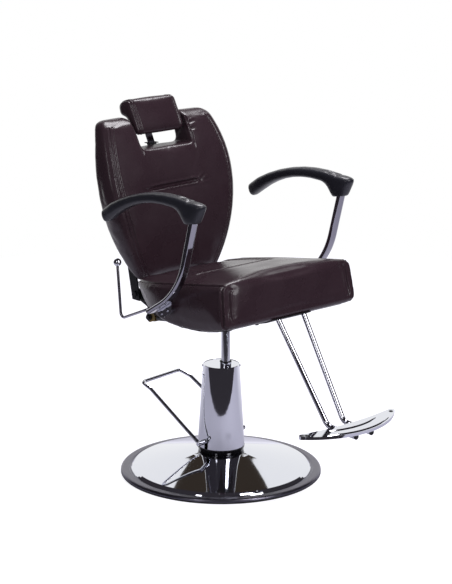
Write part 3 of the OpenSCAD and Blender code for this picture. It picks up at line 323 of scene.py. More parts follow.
chrome = metal("bright_chrome_plate", PLATE, 0.03, 40, 0.25, 0.03)
lever_steel = metal("nickel_plated_rod", "#c6c5cc", 0.24, 12, 0.05, 0.08)
# The arm tubes' plate is darker than the bright plate: painted shade for the dark room they reflect.
shaded_arm_chrome = metal("arm_chrome_with_painted_shade", "#a9a8b0", 0.05, 40, 0.25, 0.04)
rod_steel = metal("hard_chromed_rod", "#d3d5da", 0.09, 30, 0.05, 0.04)
print("metals:", chrome.name, lever_steel.name, shaded_arm_chrome.name, rod_steel.name)

# %% [markdown]
# The dish is one sheet of spun steel. Its middle is polished bright, and its rim is left with the
# satin of the lathe: fine rings and a darker, softer shine. Two pieces of metal could show this,
# but the real dish is one, so one material reads the distance from the centre and changes there.

# %% Dish
DISH_BRIGHT_R = 271
DISH_EDGE = 0.7
LATHE_PITCH = 1.6
LATHE_DEPTH = 0.1
LATHE_WEIGHT = 0.25

satin, tree, shader = new_material("dish_chrome_with_satin_rim", Metallic=1.0)
place = add(tree, "ShaderNodeTexCoord", {})
flat = add(tree, "ShaderNodeVectorMath", {0: place.outputs["Object"], 1: (1, 1, 0)}, operation="MULTIPLY")
reach = add(tree, "ShaderNodeVectorMath", {0: flat.outputs["Vector"]}, operation="LENGTH")
band = add(tree, "ShaderNodeMapRange",
           {"Value": reach.outputs["Value"], "From Min": (DISH_BRIGHT_R - DISH_EDGE) * MM,
            "From Max": (DISH_BRIGHT_R + DISH_EDGE) * MM})
tint = add(tree, "ShaderNodeMix", {"Factor": band.outputs["Result"], 6: srgb(PLATE), 7: srgb("#6d6b76")},
           data_type="RGBA")
tree.links.new(tint.outputs[2], shader.inputs["Base Color"])
lathe = add(tree, "ShaderNodeMath",
            {0: reach.outputs["Value"], 1: 1000 * 2 * math.pi / LATHE_PITCH}, operation="MULTIPLY")
turned = add(tree, "ShaderNodeMath", {0: lathe.outputs[0]}, operation="SINE")
rough = add(tree, "ShaderNodeMapRange", {"Value": band.outputs["Result"], "To Min": 0.035, "To Max": 0.30})
tree.links.new(rough.outputs["Result"], shader.inputs["Roughness"])
weight = add(tree, "ShaderNodeMath", {0: band.outputs["Result"], 1: LATHE_WEIGHT}, operation="MULTIPLY")
rings = add(tree, "ShaderNodeBump",
            {"Strength": weight.outputs[0], "Distance": LATHE_DEPTH * MM, "Height": turned.outputs[0]})
tree.links.new(rings.outputs["Normal"], shader.inputs["Normal"])
print("dish:", satin.name, "bright to", DISH_BRIGHT_R, "mm")

# %% [markdown]
# Yellow-passivated zinc covers the strut's small fittings: a dull gold with a drifting greenish
# cast from the passivating bath. Black stoved enamel covers the hidden frame steel, and the edge
# ring and plugs are rubber. The black ones differ in their shine and in the size of their grain
# far more than in colour, so one function makes them all from those few numbers.

# %% Zinc, enamel, rubber and plywood
CLOUDS_PER_METRE = 14.0
CAST_PER_METRE = 60.0
GRAIN_STRENGTH = 0.5

zinc, tree, shader = new_material("yellow_zinc_plate", Metallic=1.0, Roughness=0.34)
place = add(tree, "ShaderNodeTexCoord", {})
cloud = add(tree, "ShaderNodeTexNoise",
            {"Vector": place.outputs["Object"], "Scale": CAST_PER_METRE, "Detail": 3.0})
gold = add(tree, "ShaderNodeMix", {"Factor": cloud.outputs["Fac"], 6: srgb("#a98a4c"), 7: srgb("#8d8a6a")},
           data_type="RGBA")
tree.links.new(gold.outputs[2], shader.inputs["Base Color"])


def coated(name, dark, light, roughness, grain_mm, depth_mm, specular=0.5):
    """A moulded or sprayed surface: two close colours, and a fine grain as bump."""
    made, tree, shader = new_material(name, Roughness=roughness, Specular_IOR_Level=specular)
    place = add(tree, "ShaderNodeTexCoord", {})
    cloud = add(tree, "ShaderNodeTexNoise",
                {"Vector": place.outputs["Object"], "Scale": CLOUDS_PER_METRE, "Detail": 5.0})
    tone = add(tree, "ShaderNodeMix", {"Factor": cloud.outputs["Fac"], 6: srgb(dark), 7: srgb(light)},
               data_type="RGBA")
    tree.links.new(tone.outputs[2], shader.inputs["Base Color"])
    grain = add(tree, "ShaderNodeTexNoise",
                {"Vector": place.outputs["Object"], "Scale": 1000 / grain_mm, "Detail": 3.0})
    bump = add(tree, "ShaderNodeBump",
               {"Strength": GRAIN_STRENGTH, "Distance": depth_mm * MM, "Height": grain.outputs["Fac"]})
    tree.links.new(bump.outputs["Normal"], shader.inputs["Normal"])
    return made


enamel = coated("black_stoved_enamel", "#141416", "#1d1d20", 0.34, 5, 0.06)
gloss_black = coated("gloss_black_moulding", "#0a0a0c", "#101014", 0.10, 30, 0.05)
rubber = coated("black_rubber_edge", "#17171a", "#222226", 0.62, 2.5, 0.12, 0.35)
pad_foam = coated("integral_skin_foam", "#1b1b22", "#26262f", 0.34, 2, 0.03)
plywood = coated("black_stained_plywood", "#1d1714", "#2b221c", 0.7, 8, 0.10)
thread = coated("bonded_nylon_thread", "#2a1d21", "#3c2b30", 0.5, 1, 0.1)
print("coatings:", [m.name for m in (enamel, gloss_black, rubber, pad_foam, plywood, thread)])

# %% [markdown]
# The covering is expanded vinyl upholstery cloth: a knitted backing under a soft PVC skin that is
# embossed with a leather grain and lacquered. It is a dark aubergine brown. The lacquer gives
# wide soft highlights, the emboss breaks them up, and slow changes of tone keep it from looking
# painted. The real grain is about 1.2 mm; it is drawn at 2.2 mm, because a finer one could not
# be seen from this distance.

# %% Vinyl
GRAIN_MM = 2.2
CREASE_WIDTH = 0.22
EMBOSS_DEPTH = 0.10
DRAPE_DEPTH = 1.2
TONES_PER_METRE = 11.0
WAVES_PER_METRE = 14.0

vinyl, tree, shader = new_material("embossed_vinyl_cloth", Specular_IOR_Level=0.42)
place = add(tree, "ShaderNodeTexCoord", {})
cloud = add(tree, "ShaderNodeTexNoise",
            {"Vector": place.outputs["Object"], "Scale": TONES_PER_METRE, "Detail": 4.0})
tone = add(tree, "ShaderNodeMix", {"Factor": cloud.outputs["Fac"], 6: srgb("#2b1d24"), 7: srgb("#3b2a32")},
           data_type="RGBA")
cells = add(tree, "ShaderNodeTexVoronoi", {"Vector": place.outputs["Object"], "Scale": 1000 / GRAIN_MM},
            feature="DISTANCE_TO_EDGE")
crease = add(tree, "ShaderNodeMapRange",
             {"Value": cells.outputs["Distance"], "From Max": CREASE_WIDTH, "To Min": 0.0})
# The grain's creases are mixed to a darker brown: painted shade in the hollows of the emboss.
deep = add(tree, "ShaderNodeMix",
           {"Factor": crease.outputs["Result"], 6: srgb("#281b21"), 7: tone.outputs[2]}, data_type="RGBA")
tree.links.new(deep.outputs[2], shader.inputs["Base Color"])
polish = add(tree, "ShaderNodeMapRange",
             {"Value": cloud.outputs["Fac"], "From Min": 0.3, "From Max": 0.7, "To Min": 0.24,
              "To Max": 0.33})
tree.links.new(polish.outputs["Result"], shader.inputs["Roughness"])
emboss = add(tree, "ShaderNodeBump",
             {"Strength": 0.2, "Distance": EMBOSS_DEPTH * MM, "Height": crease.outputs["Result"]})
slack = add(tree, "ShaderNodeTexNoise",
            {"Vector": place.outputs["Object"], "Scale": WAVES_PER_METRE, "Detail": 1.0})
drape = add(tree, "ShaderNodeBump",
            {"Strength": 0.35, "Distance": DRAPE_DEPTH * MM, "Height": slack.outputs["Fac"],
             "Normal": emboss.outputs["Normal"]})
tree.links.new(drape.outputs["Normal"], shader.inputs["Normal"])
print("grain", GRAIN_MM, "mm")

# %% [markdown]
# Each CAD part now takes its finish. Its mesh already has the right shape, so it is kept, and
# only its material slot changes. One table says which finish goes on which parts, which is easier
# to check than one line for each part.

# %% Finishes for the CAD parts
FINISHES = {
    satin: ["base_dish"],
    shaded_arm_chrome: ["arm_tube_left", "arm_tube_right"],
    chrome: ["pump_cover", "cover_lid", "pedal_bail", "pedal_hubs", "arm_mount_left", "arm_mount_right",
             "arm_bolts", "footrest_tube_left", "footrest_tube_right", "footplate", "lever_knob",
             "headrest_post", "cover_screws", "gland_nut"],
    rod_steel: ["piston_rod", "strut_rod", "pedal_shaft", "inner_cylinder", "pump_plunger"],
    zinc: ["strut_head", "strut_fork", "thrust_washer"],
    enamel: ["base_plate", "base_bolts", "pump_housing", "reservoir_tube", "seat_socket",
             "frame_rail_left", "frame_rail_right", "frame_bolts", "recline_bolts", "crank_bolt",
             "strut_anchor", "footrest_bracket", "back_bar_left", "back_bar_right", "recline_crank",
             "strut_cylinder"],
    gloss_black: ["cover_foot_ring"],
    lever_steel: ["recline_lever"],
    rubber: ["base_edge_ring", "rod_wiper", "tube_caps", "footplate_plugs", "arm_end_plugs",
             "headrest_guide"],
    plywood: ["seat_board", "seat_side_rails", "backrest_board"],
    pad_foam: ["arm_pad_left", "arm_pad_right"],
    vinyl: ["seat_cushion", "backrest_cushion", "headrest_pad"],
}
for finish, names in FINISHES.items():
    for name in names:
        nodes[name].data.materials.clear()
        nodes[name].data.materials.append(finish)
left_over = sorted(set(nodes) - {n for names in FINISHES.values() for n in names})
print("parts without a finish:", left_over)

# %% [markdown]
# Upholstery is foam under cloth. It could be sculpted point by point, but the swell of a panel
# between its seams is hard to guess. So each cushion is made in three steps. A block with a fine,
# even grid is bent to the drawn form. Cloth simulation then blows it up from inside while its
# seams are held, which is what the foam does to the cover: panels swell and seams stay low.
# Last, the seams get their groove and their stitches. The first step needs a block that bends.

# %% Bending a block
BLOCK_CUTS = 40


def soften(a, c, power):
    """Moves a point of a square section onto a squarish oval; a high power keeps the corners full."""
    most = max(abs(a), abs(c))
    if most == 0:
        return 0, 0
    scale = ((abs(a) / most) ** power + (abs(c) / most) ** power) ** (-1 / power)
    return a * scale, c * scale


def rounding(depth, radius):
    """How far a rounded edge draws a side in, at a depth past the edge's end."""
    if depth >= radius:
        return 0
    return radius - math.sqrt(max(0, radius ** 2 - (radius - depth) ** 2))


def block(name, place):
    """A cube with its faces cut into a grid that is closer near the edges, moved point by point by place."""
    mesh = bpy.data.meshes.new(name)
    bm = bmesh.new()
    bmesh.ops.create_cube(bm, size=2)
    bmesh.ops.subdivide_edges(bm, edges=bm.edges, cuts=BLOCK_CUTS, use_grid_fill=True)
    for v in bm.verts:
        v.co = place(*[math.sin(c * math.pi / 2) for c in v.co])
    bmesh.ops.recalc_face_normals(bm, faces=bm.faces)
    bm.to_mesh(mesh)
    bm.free()
    made = bpy.data.objects.new(name, mesh)
    bpy.context.scene.collection.objects.link(made)
    return made


print("a block has", 6 * (BLOCK_CUTS + 1) ** 2, "faces")

# %% [markdown]
# A modifier is a recipe that Blender cooks afresh each time. The next steps read the cooked
# points, so each recipe is made part of the mesh at once. Voxel remeshing covers any closed form
# with faces of one size, which cloth needs to swell evenly, and smoothing takes its steps away.

# %% Modifiers made part of the mesh
SMOOTHING = 0.5


def bake(obj):
    """Turns an object's modifiers into its mesh."""
    graph = bpy.context.evaluated_depsgraph_get()
    mesh = bpy.data.meshes.new_from_object(obj.evaluated_get(graph))
    old = obj.data
    obj.modifiers.clear()
    obj.data = mesh
    bpy.data.meshes.remove(old)


def calm(obj, rounds):
    """Smooths a form some rounds, when it is next baked."""
    smoother = obj.modifiers.new("calm", "SMOOTH")
    smoother.factor = SMOOTHING
    smoother.iterations = rounds


def remesh(obj, size_mm, rounds=14):
    """Covers a form with even faces of about size_mm, and smooths them as many rounds as asked."""
    even = obj.modifiers.new("even", "REMESH")
    even.mode = "VOXEL"
    even.voxel_size = size_mm * MM
    calm(obj, rounds)
    bake(obj)


def refine(obj):
    """One level of subdivision, made part of the mesh."""
    finer = obj.modifiers.new("finer", "SUBSURF")
    finer.levels = 1
    finer.render_levels = 1
    bake(obj)


def smooth_shade(obj, material):
    """Smooth faces and one material."""
    obj.data.materials.clear()
    obj.data.materials.append(material)
    obj.data.shade_smooth()


print("smoothing moves a point by", SMOOTHING, "of the way each round")

# %% [markdown]
# The cover is blown up as cloth. Points near a seam are pinned, because the real seam is pulled
# down to the board and its thread doesn't stretch. Cloth that is left to itself for 20 frames
# can swell too far, so no point may move more than a few millimetres from where it was drawn.

# %% Simulation
LINE_STEP = 2
PIN_STEP = 3
PIN_REACH = 9
PRESSURE = 4
CLOTH_QUALITY = 4
LAST_FRAME = 20
CALM_ROUNDS = 5


def tree_of(points):
    """A search tree over points."""
    tree = KDTree(len(points))
    for i, p in enumerate(points):
        tree.insert(p, i)
    tree.balance()
    return tree


def dense(line, step_mm=LINE_STEP):
    """The same line with a point every step_mm."""
    out = [line[0]]
    for a, b in zip(line, line[1:]):
        n = max(1, round((b - a).length / (step_mm * MM)))
        out += [a.lerp(b, i / n) for i in range(1, n + 1)]
    return out


def puff(obj, seams, most_mm, still=None):
    """Blows a cushion up as cloth with its seams pinned; no point moves more than most_mm."""
    rest = [v.co.copy() for v in obj.data.vertices]
    near = tree_of([p for line in seams for p in dense(line, PIN_STEP)])
    held = obj.vertex_groups.new(name="held")
    for i, p in enumerate(rest):
        gap = near.find(p)[2]
        grip = max(0, 1 - gap / (PIN_REACH * MM))
        held.add([i], grip, "REPLACE")
    cloth = obj.modifiers.new("cloth", "CLOTH")
    cloth.settings.use_pressure = True
    cloth.settings.uniform_pressure_force = PRESSURE
    cloth.settings.vertex_group_mass = "held"
    cloth.settings.quality = CLOTH_QUALITY
    cloth.settings.effector_weights.gravity = 0
    cloth.point_cache.frame_start = 1
    cloth.point_cache.frame_end = LAST_FRAME
    for f in range(1, LAST_FRAME + 1):
        bpy.context.scene.frame_set(f)
    bake(obj)
    bpy.context.scene.frame_set(1)
    for v, p in zip(obj.data.vertices, rest):
        move = v.co - p
        limit = most_mm * MM * (1 if still is None else still(p))
        v.co = p + (move if move.length <= limit else move.normalized() * limit)
    obj.vertex_groups.clear()
    calm(obj, CALM_ROUNDS)
    bake(obj)


print("cloth runs for", LAST_FRAME, "frames")

# %% [markdown]
# A seam is a groove with a soft shoulder on each side, where the cloth turns down to the thread.
# Edge loops could be modelled for it, but the remeshed skin has none to offer. So the drawn line
# is laid onto the skin, and each point near it is pressed in by a bell curve of its distance,
# less a second bell for the shoulders.

# %% Seams
SEAM_REACH = 4
SHOULDER_AT = 2
SHOULDER_WIDTH = 0.8


def seam(obj, line, depth_mm, width_mm, lift_mm=0.0, fade=(0, 0)):
    """Presses a seam into a cushion along a line, with a raised shoulder on each side.

    The press grows over fade mm at the line's two ends."""
    skin = BVHTree.FromObject(obj, bpy.context.evaluated_depsgraph_get())
    path = [skin.find_nearest(p)[0] for p in dense(line)]
    near = tree_of(path)
    reach = width_mm * MM
    moves = []
    for v in obj.data.vertices:
        _, i, gap = near.find(v.co)
        if gap < SEAM_REACH * reach:
            from_start = ramp(i * LINE_STEP + 1, fade[0] + 1)
            from_end = ramp((len(path) - i) * LINE_STEP, fade[1] + 1)
            groove = depth_mm * math.exp(-(gap / reach) ** 2)
            shoulder = lift_mm * math.exp(-((gap / reach - SHOULDER_AT) / SHOULDER_WIDTH) ** 2)
            dip = groove - shoulder
            share = min(from_start, from_end)
            moves.append((v, v.normal * (share * dip * MM)))
    for v, move in moves:
        v.co -= move
    obj.data.update()


print("a seam reaches", SEAM_REACH, "times its width")

# %% [markdown]
# Beside each seam runs a row of thread stitches. A texture of dashes would be flat, and thread
# this thick stands proud and catches the light, so each stitch is a small long ball of few faces
# laid on the skin. A stitch every 6 mm, 4.2 mm long, is usual on chair covers.

# %% Stitches
STITCH_PITCH = 6.0
STITCH_LONG = 4.2
STITCH_THICK = 1.1
STITCH_LIFT = 0.15
STITCH_FAR = 12


def stitches(name, obj, lines, body):
    """One row of thread stitches along each line, laid on the surface of a cushion."""
    skin = BVHTree.FromObject(obj, bpy.context.evaluated_depsgraph_get())
    mesh = bpy.data.meshes.new(name)
    bm = bmesh.new()
    count = 0
    half_thick = STITCH_THICK / 2 * MM
    size = Matrix.Diagonal((STITCH_LONG / 2 * MM, half_thick, half_thick, 1))
    for line in lines:
        path = dense(line, STITCH_PITCH)
        for p, q in zip(path, path[1:]):
            spot, normal, _, gap = skin.find_nearest((p + q) / 2)
            if gap > STITCH_FAR * MM or (q - p).length < 1e-6:
                continue
            along = (q - p - normal * (q - p).dot(normal)).normalized()
            turn = Matrix((along, normal.cross(along), normal)).transposed().to_4x4()
            lift = Matrix.Translation(spot + normal * STITCH_LIFT * MM)
            bmesh.ops.create_uvsphere(bm, u_segments=6, v_segments=4, radius=1, matrix=lift @ turn @ size)
            count += 1
    bm.to_mesh(mesh)
    bm.free()
    made = bpy.data.objects.new(name, mesh)
    bpy.context.scene.collection.objects.link(made)
    smooth_shade(made, thread)
    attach(made, body)
    print(name, count, "stitches")


print("stitches are", STITCH_PITCH, "mm apart")

# %% [markdown]
# The seat is a deep foam cushion on a curved board. Its top falls a little towards the back, its
# underside is part of a big circle, and a tucked panel lies a little lower in the middle of the
# top. A box with rounded edges would lose the curved foot and the lean of the nose, so one
# function gives the place of every point, from the same driving sizes as the frame.

# %% Seat form
SEAT_W = 510
SEAT_L = 448
SEAT_FRONT = -283
SEAT_TOP = 168
SEAT_FALL = math.tan(math.radians(9.1))
SEAT_SECTION = 14
NOSE_LEAN = 23
NOSE_FLARE = 11
NOSE_SHARE = 0.4
BACK_FOOT_IN = 47
TAPER = 52
TAPER_START = -20
TAPER_LONG = 180
TAPER_POWER = 2.2
CROWN = 10
TUCK = 8
TUCK_HALF = 148
TUCK_FRONT = -52
TUCK_SIDE_SLOPE = 26
TUCK_FRONT_SLOPE = 12
SLIM = 3
CORNER_R = 12
HULL_LOW = -100
HULL_SPREAD = 1086


def hull(y):
    """Height of the seat's round underside."""
    return (y - HULL_LOW) ** 2 / HULL_SPREAD


def seat_half(y):
    """Half of the seat's width, which narrows towards the back."""
    return SEAT_W / 2 - TAPER * max(0, (y - TAPER_START) / TAPER_LONG) ** TAPER_POWER


def seat_place(a, b, c):
    """A point of the seat for a across, b front to back and c upwards, each from -1 to 1."""
    a, c = soften(a, c, SEAT_SECTION)
    t = (b + 1) / 2
    draw_in = SLIM + rounding(SEAT_L * min(t, 1 - t), CORNER_R)
    top = Vector((SEAT_FRONT + SEAT_L * t + b * -SLIM, SEAT_TOP - SEAT_L * t * SEAT_FALL))
    foot_y = (SEAT_FRONT - NOSE_LEAN) * (1 - t) + (SEAT_FRONT + SEAT_L - BACK_FOOT_IN) * t - b * SLIM
    foot = Vector((foot_y, hull(foot_y)))
    half = (top - foot) / 2
    v = c * (1 - draw_in / half.length)
    flare = NOSE_FLARE * (1 - v) / 2 * ramp(NOSE_SHARE - t, NOSE_SHARE) ** 2
    x = a * (seat_half(top.x) + flare - draw_in)
    panel = TUCK * ramp(TUCK_HALF - abs(x), TUCK_SIDE_SLOPE) * ramp(top.x - TUCK_FRONT, TUCK_FRONT_SLOPE)
    rise = max(0, v) * (CROWN * (1 - a ** 4) - panel)
    p = (top + foot) / 2 + half * v
    return at_seat(x, p.x, p.y + rise)


seat = block("seat_cushion_cover", seat_place)
print("seat block:", len(seat.data.vertices), "points")

# %% [markdown]
# The cover is sewn from a wide front-and-top panel and two side panels. Their seams run along the
# top side edges and down the front corners, and a tuck holds the panel in the middle. The lines
# are drawn in the block's own a, b and c, so they follow the form if a driving size changes.

# %% Seat seams
BAND_A = 0.935


def seat_line(points, steps):
    """A seam that visits points of the seat's own a, b, c."""
    out = []
    for p, q in zip(points, points[1:]):
        out += [seat_place(*Vector(p).lerp(Vector(q), i / steps)) for i in range(steps)]
    return out + [seat_place(*points[-1])]


side_seams = [seat_line([(s, -0.93, 1), (s, 0.97, 1)], 60) for s in (-1, 1)]
corner_seams = [seat_line([(s, -0.965, 1), (s, -0.965, -1)], 30) for s in (-1, 1)]
band_seams = [seat_line([(s * BAND_A, -1, 0.98), (s * BAND_A, -1, -0.98)], 30) for s in (-1, 1)]
tuck_a = TUCK_HALF / (SEAT_W / 2)
tuck_b = 2 * (TUCK_FRONT - SEAT_FRONT) / SEAT_L - 1
tuck_seam = seat_line([(-tuck_a, 0.9, 1), (-tuck_a, tuck_b, 1), (tuck_a, tuck_b, 1), (tuck_a, 0.9, 1)], 40)
seat_seams = side_seams + corner_seams + band_seams + [tuck_seam]
print("seat seams:", len(seat_seams), "with the panel's front at b =", round(tuck_b, 2))

# %% [markdown]
# Under the board the cover is stapled down, so it may swell on its top and sides but not there.
# Where the board lies, the underside is then held a little above the round foot, which leaves the
# board its room.

# %% Seat simulation
STAPLE_CLEAR = 14
STAPLE_FADE = 60
BOARD_IN = 93
BOARD_HALF = SEAT_W / 2 - BOARD_IN
BOARD_FRONT = -270
BOARD_BACK = 98
BOARD_NEAR = 11
BOARD_ROOM = 5


def seat_still(p):
    """The share of the swelling that a point may take: none near the staples, all of it higher up."""
    return ramp(p.z / MM - SEAT_HEIGHT - hull(p.y / MM) - STAPLE_CLEAR, STAPLE_FADE)


remesh(seat, 5)
puff(seat, seat_seams, 6, seat_still)
refine(seat)
for line in side_seams:
    seam(seat, line, depth_mm=2.5, width_mm=10)
    seam(seat, line, depth_mm=3.2, width_mm=2.8, lift_mm=1.5)
for line in corner_seams:
    seam(seat, line, depth_mm=4.0, width_mm=3.2, lift_mm=1.5)
for line in band_seams:
    seam(seat, line, depth_mm=5.0, width_mm=15, fade=(0, 60))
    seam(seat, line, depth_mm=4.0, width_mm=3.0, lift_mm=2.0, fade=(10, 30))
seam(seat, tuck_seam, depth_mm=6.0, width_mm=4.5, lift_mm=2.0, fade=(60, 60))
for v in seat.data.vertices:
    y, z = v.co.y / MM, v.co.z / MM - SEAT_HEIGHT
    if abs(v.co.x) < BOARD_HALF * MM and BOARD_FRONT < y < BOARD_BACK and z < hull(y) + BOARD_NEAR:
        v.co.z = (max(z, hull(y) + BOARD_ROOM) + SEAT_HEIGHT) * MM
smooth_shade(seat, vinyl)
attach(seat, "seat")
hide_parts("seat_cushion")
print("seat cover:", len(seat.data.polygons), "faces")

# %% [markdown]
# A single row of stitches runs on the top panel, 6 mm in from the side seams, and another beside
# each front corner. It holds the seam's spare cloth flat on the inside.

# %% Seat stitches
ROW_IN = 6


def beside(line, side):
    """The same line moved in towards the middle of the seat."""
    return [p + Vector((-side * ROW_IN * MM, 0, 0)) for p in line]


rows = []
for side, top, front in zip((-1, 1), side_seams, corner_seams):
    rows += [beside(top, side), beside(front, side)]
stitches("seat_stitches", seat, rows, "seat")

# %% [markdown]
# The backrest is a deep pad with a bowed front, round sides and a rear that follows one smooth
# curve from foot to top. Its outline widens upwards to the shoulders and comes in again. As on
# the seat, one function places every point of a block; the rear's curve is a Bezier curve, which
# needs four points where a chain of arcs would need many.

# %% Backrest form
BACK_W = 490
BACK_R = 635
BACK_CZ = 180
BACK_CY = 168.2 + BACK_R
BACK_FOOT = 67
BACK_TOP = 547
BACK_SECTION = 7
FOOT_EDGE_R = 10
TOP_EDGE_R = 22
WIDE_Z = 384
NARROW_BELOW = 9.1e-4
NARROW_ABOVE = 1.36e-3
HOLLOW = 5
BACK_CROWN = 16
CROWN_FROM = 66
CROWN_FADE = 60
REAR_CURVE = [(209, 67), (330, 240), (284, 428), (343, 534)]
HALVINGS = 14


def back_half(z):
    """Half of the backrest's width at a height."""
    return BACK_W / 2 - (NARROW_BELOW if z < WIDE_Z else NARROW_ABOVE) * (z - WIDE_Z) ** 2


def bezier(p, t):
    """A point on a cubic curve through four control points."""
    s = 1 - t
    shares = (s ** 3, 3 * s * s * t, 3 * s * t * t, t ** 3)
    return sum((Vector(q) * k for q, k in zip(p, shares)), Vector((0, 0)))


def back_front(z):
    """Depth of the bowed front at a height."""
    return BACK_CY - math.sqrt(BACK_R ** 2 - (z - BACK_CZ) ** 2)


def back_rear(z):
    """Depth of the rear at a height, found on the side's curve by halving."""
    lo, hi = 0.0, 1.0
    for _ in range(HALVINGS):
        mid = (lo + hi) / 2
        lo, hi = (mid, hi) if bezier(REAR_CURVE, mid).y < z else (lo, mid)
    return bezier(REAR_CURVE, (lo + hi) / 2).x


def back_place(a, b, c):
    """A point of the backrest for a across, b front to rear and c upwards, each from -1 to 1."""
    a, b = soften(a, b, BACK_SECTION)
    from_foot = (BACK_TOP - BACK_FOOT) * (c + 1) / 2
    from_top = BACK_TOP - BACK_FOOT - from_foot
    z = BACK_FOOT + from_foot - c * SLIM
    draw_in = SLIM + rounding(from_foot, FOOT_EDGE_R) + rounding(from_top, TOP_EDGE_R)
    y0, y1 = back_front(z), back_rear(z)
    x = a * (back_half(z) - draw_in)
    y = (y0 + y1) / 2 + b * ((y1 - y0) / 2 - draw_in)
    front = max(0, -b) * HOLLOW * (1 - a * a)
    rear = max(0, b) * BACK_CROWN * (1 - a * a) * ramp(z - CROWN_FROM, CROWN_FADE)
    return at_seat(x, y + front + rear, z)


backrest = block("backrest_cover", back_place)
print("backrest block:", len(backrest.data.vertices), "points")

# %% [markdown]
# The top has a slot for the head pad's post. It could be modelled into the grid, but the remesh
# evens out any cut's edge faces anyway, so a round-edged box is taken away from the block before
# the cover is remeshed.

# %% Head pad slot
NOTCH_HALF = 97
NOTCH_FLOOR = 453
NOTCH_R = 9
CLEAR_FRONT = 100
CLEAR_REAR = 460
CLEAR_TOP = 700


def cut_box(obj, lo, hi, round_mm):
    """Cuts a round-edged box out of a form; lo and hi are in mm on the seat frame."""
    mesh = bpy.data.meshes.new("cutter")
    bm = bmesh.new()
    bmesh.ops.create_cube(bm, size=1)
    size = Vector(hi) - Vector(lo)
    bmesh.ops.scale(bm, vec=size * MM, verts=bm.verts)
    bmesh.ops.translate(bm, vec=at_seat(*((Vector(lo) + Vector(hi)) / 2)), verts=bm.verts)
    bmesh.ops.bevel(bm, geom=bm.edges, offset=round_mm * MM, segments=4, affect="EDGES", profile=0.5,
                    material=-1)
    bm.to_mesh(mesh)
    bm.free()
    cutter = bpy.data.objects.new("cutter", mesh)
    bpy.context.scene.collection.objects.link(cutter)
    cut = obj.modifiers.new("cut", "BOOLEAN")
    cut.object = cutter
    cut.solver = "EXACT"
    bake(obj)
    bpy.data.objects.remove(cutter)


cut_box(backrest, (-NOTCH_HALF - SLIM, CLEAR_FRONT, NOTCH_FLOOR - SLIM),
        (NOTCH_HALF + SLIM, CLEAR_REAR, CLEAR_TOP), NOTCH_R)
print("slot", 2 * NOTCH_HALF, "mm wide")

# %% [markdown]
# Two long seams on each side of the front hold a narrow strip between them, as a piping band
# would. A deep fold crosses the waist, where the cover is pulled back to the board, and small
# creases run out of the fold's end and of the slot's corner. The creases could be left to the
# simulation, but cloth this coarse can't form them, so they are drawn like thin, short seams.

# %% Backrest seams
STRIP_IN = 21
STRIP_W = 13
STRIP_FOOT = 12
STRIP_SHORT = 30
STRIP_STEPS = 30
STRIP_DEPTH = 0.2
WAIST_Z = 345
SLOT_SEAM_OUT = 4
SLOT_SEAM_END = 12


def back_line(points, steps):
    """A seam on the backrest's front, through points of (x in mm, height in mm)."""
    out = []
    for (x0, z0), (x1, z1) in zip(points, points[1:]):
        for i in range(steps):
            t = i / steps
            x, z = x0 + (x1 - x0) * t, z0 + (z1 - z0) * t
            a = x / back_half(z)
            out.append(at_seat(x, back_front(z) + HOLLOW * (1 - a * a), z))
    return out


def strip_line(side, inset):
    """A long seam that keeps its distance from the backrest's side edge."""
    tall = BACK_TOP - STRIP_SHORT - BACK_FOOT
    zs = [BACK_FOOT + STRIP_FOOT + tall * i / STRIP_STEPS for i in range(STRIP_STEPS + 1)]
    return [at_seat(side * (back_half(z) - inset), back_front(z) + HOLLOW * STRIP_DEPTH, z) for z in zs]


strip_seams = [strip_line(s, STRIP_IN + d) for s in (-1, 1) for d in (0, STRIP_W)]
lumbar = back_line([(-135, WAIST_Z - 3), (-60, WAIST_Z), (20, WAIST_Z + 2), (88, WAIST_Z + 3)], 12)
slot_x = NOTCH_HALF + SLOT_SEAM_OUT
slot_low, slot_high = NOTCH_FLOOR - SLOT_SEAM_END, BACK_TOP - SLOT_SEAM_END
slot_seams = [back_line([(s * slot_x, slot_low), (s * slot_x, slot_high)], 24) for s in (-1, 1)]
wrinkles = [back_line([start, end], 10) for start, end in (
    ((88, 348), (116, 362)), ((90, 347), (126, 346)), ((88, 345), (112, 330)),
    ((NOTCH_HALF + 6, 510), (142, 517)), ((NOTCH_HALF + 6, 493), (134, 495)))]
print("backrest lines:", len(strip_seams) + 1 + len(slot_seams) + len(wrinkles))

# %% [markdown]
# The backrest swells less than the seat, because its foam is firmer and its cover is drawn tight
# round a board. The fold is pressed twice: once wide and shallow for the pull of the cloth, and
# once narrow and deep for the fold itself. One press could not give both.

# %% Backrest simulation
remesh(backrest, 5)
puff(backrest, strip_seams + [lumbar] + slot_seams, 3.5)
refine(backrest)
for line in strip_seams:
    seam(backrest, line, depth_mm=2.0, width_mm=2.6, lift_mm=0.7)
seam(backrest, lumbar, depth_mm=4.0, width_mm=16, fade=(70, 30))
seam(backrest, lumbar, depth_mm=6.5, width_mm=4.6, lift_mm=3.0, fade=(60, 8))
for line in wrinkles:
    seam(backrest, line, depth_mm=2.4, width_mm=4.0, lift_mm=1.2, fade=(2, 26))
for line in slot_seams:
    seam(backrest, line, depth_mm=1.6, width_mm=2.4, lift_mm=0.8)
smooth_shade(backrest, vinyl)
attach(backrest, "backrest")
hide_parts("backrest_cushion")
print("backrest cover:", len(backrest.data.polygons), "faces")
rows = [strip_line(s, STRIP_IN + d) for s in (-1, 1) for d in (-5, STRIP_W + 5)]
stitches("backrest_stitches", backrest, rows, "backrest")

# %% [markdown]
# The head pad is a bent roll: its cover wraps over the top and down the front in one piece, with
# a flat panel sewn into each end. Its section has a lip and a heel that no block would bend to,
# so its outline is drawn once as a ring, and the ring is pulled out sideways.

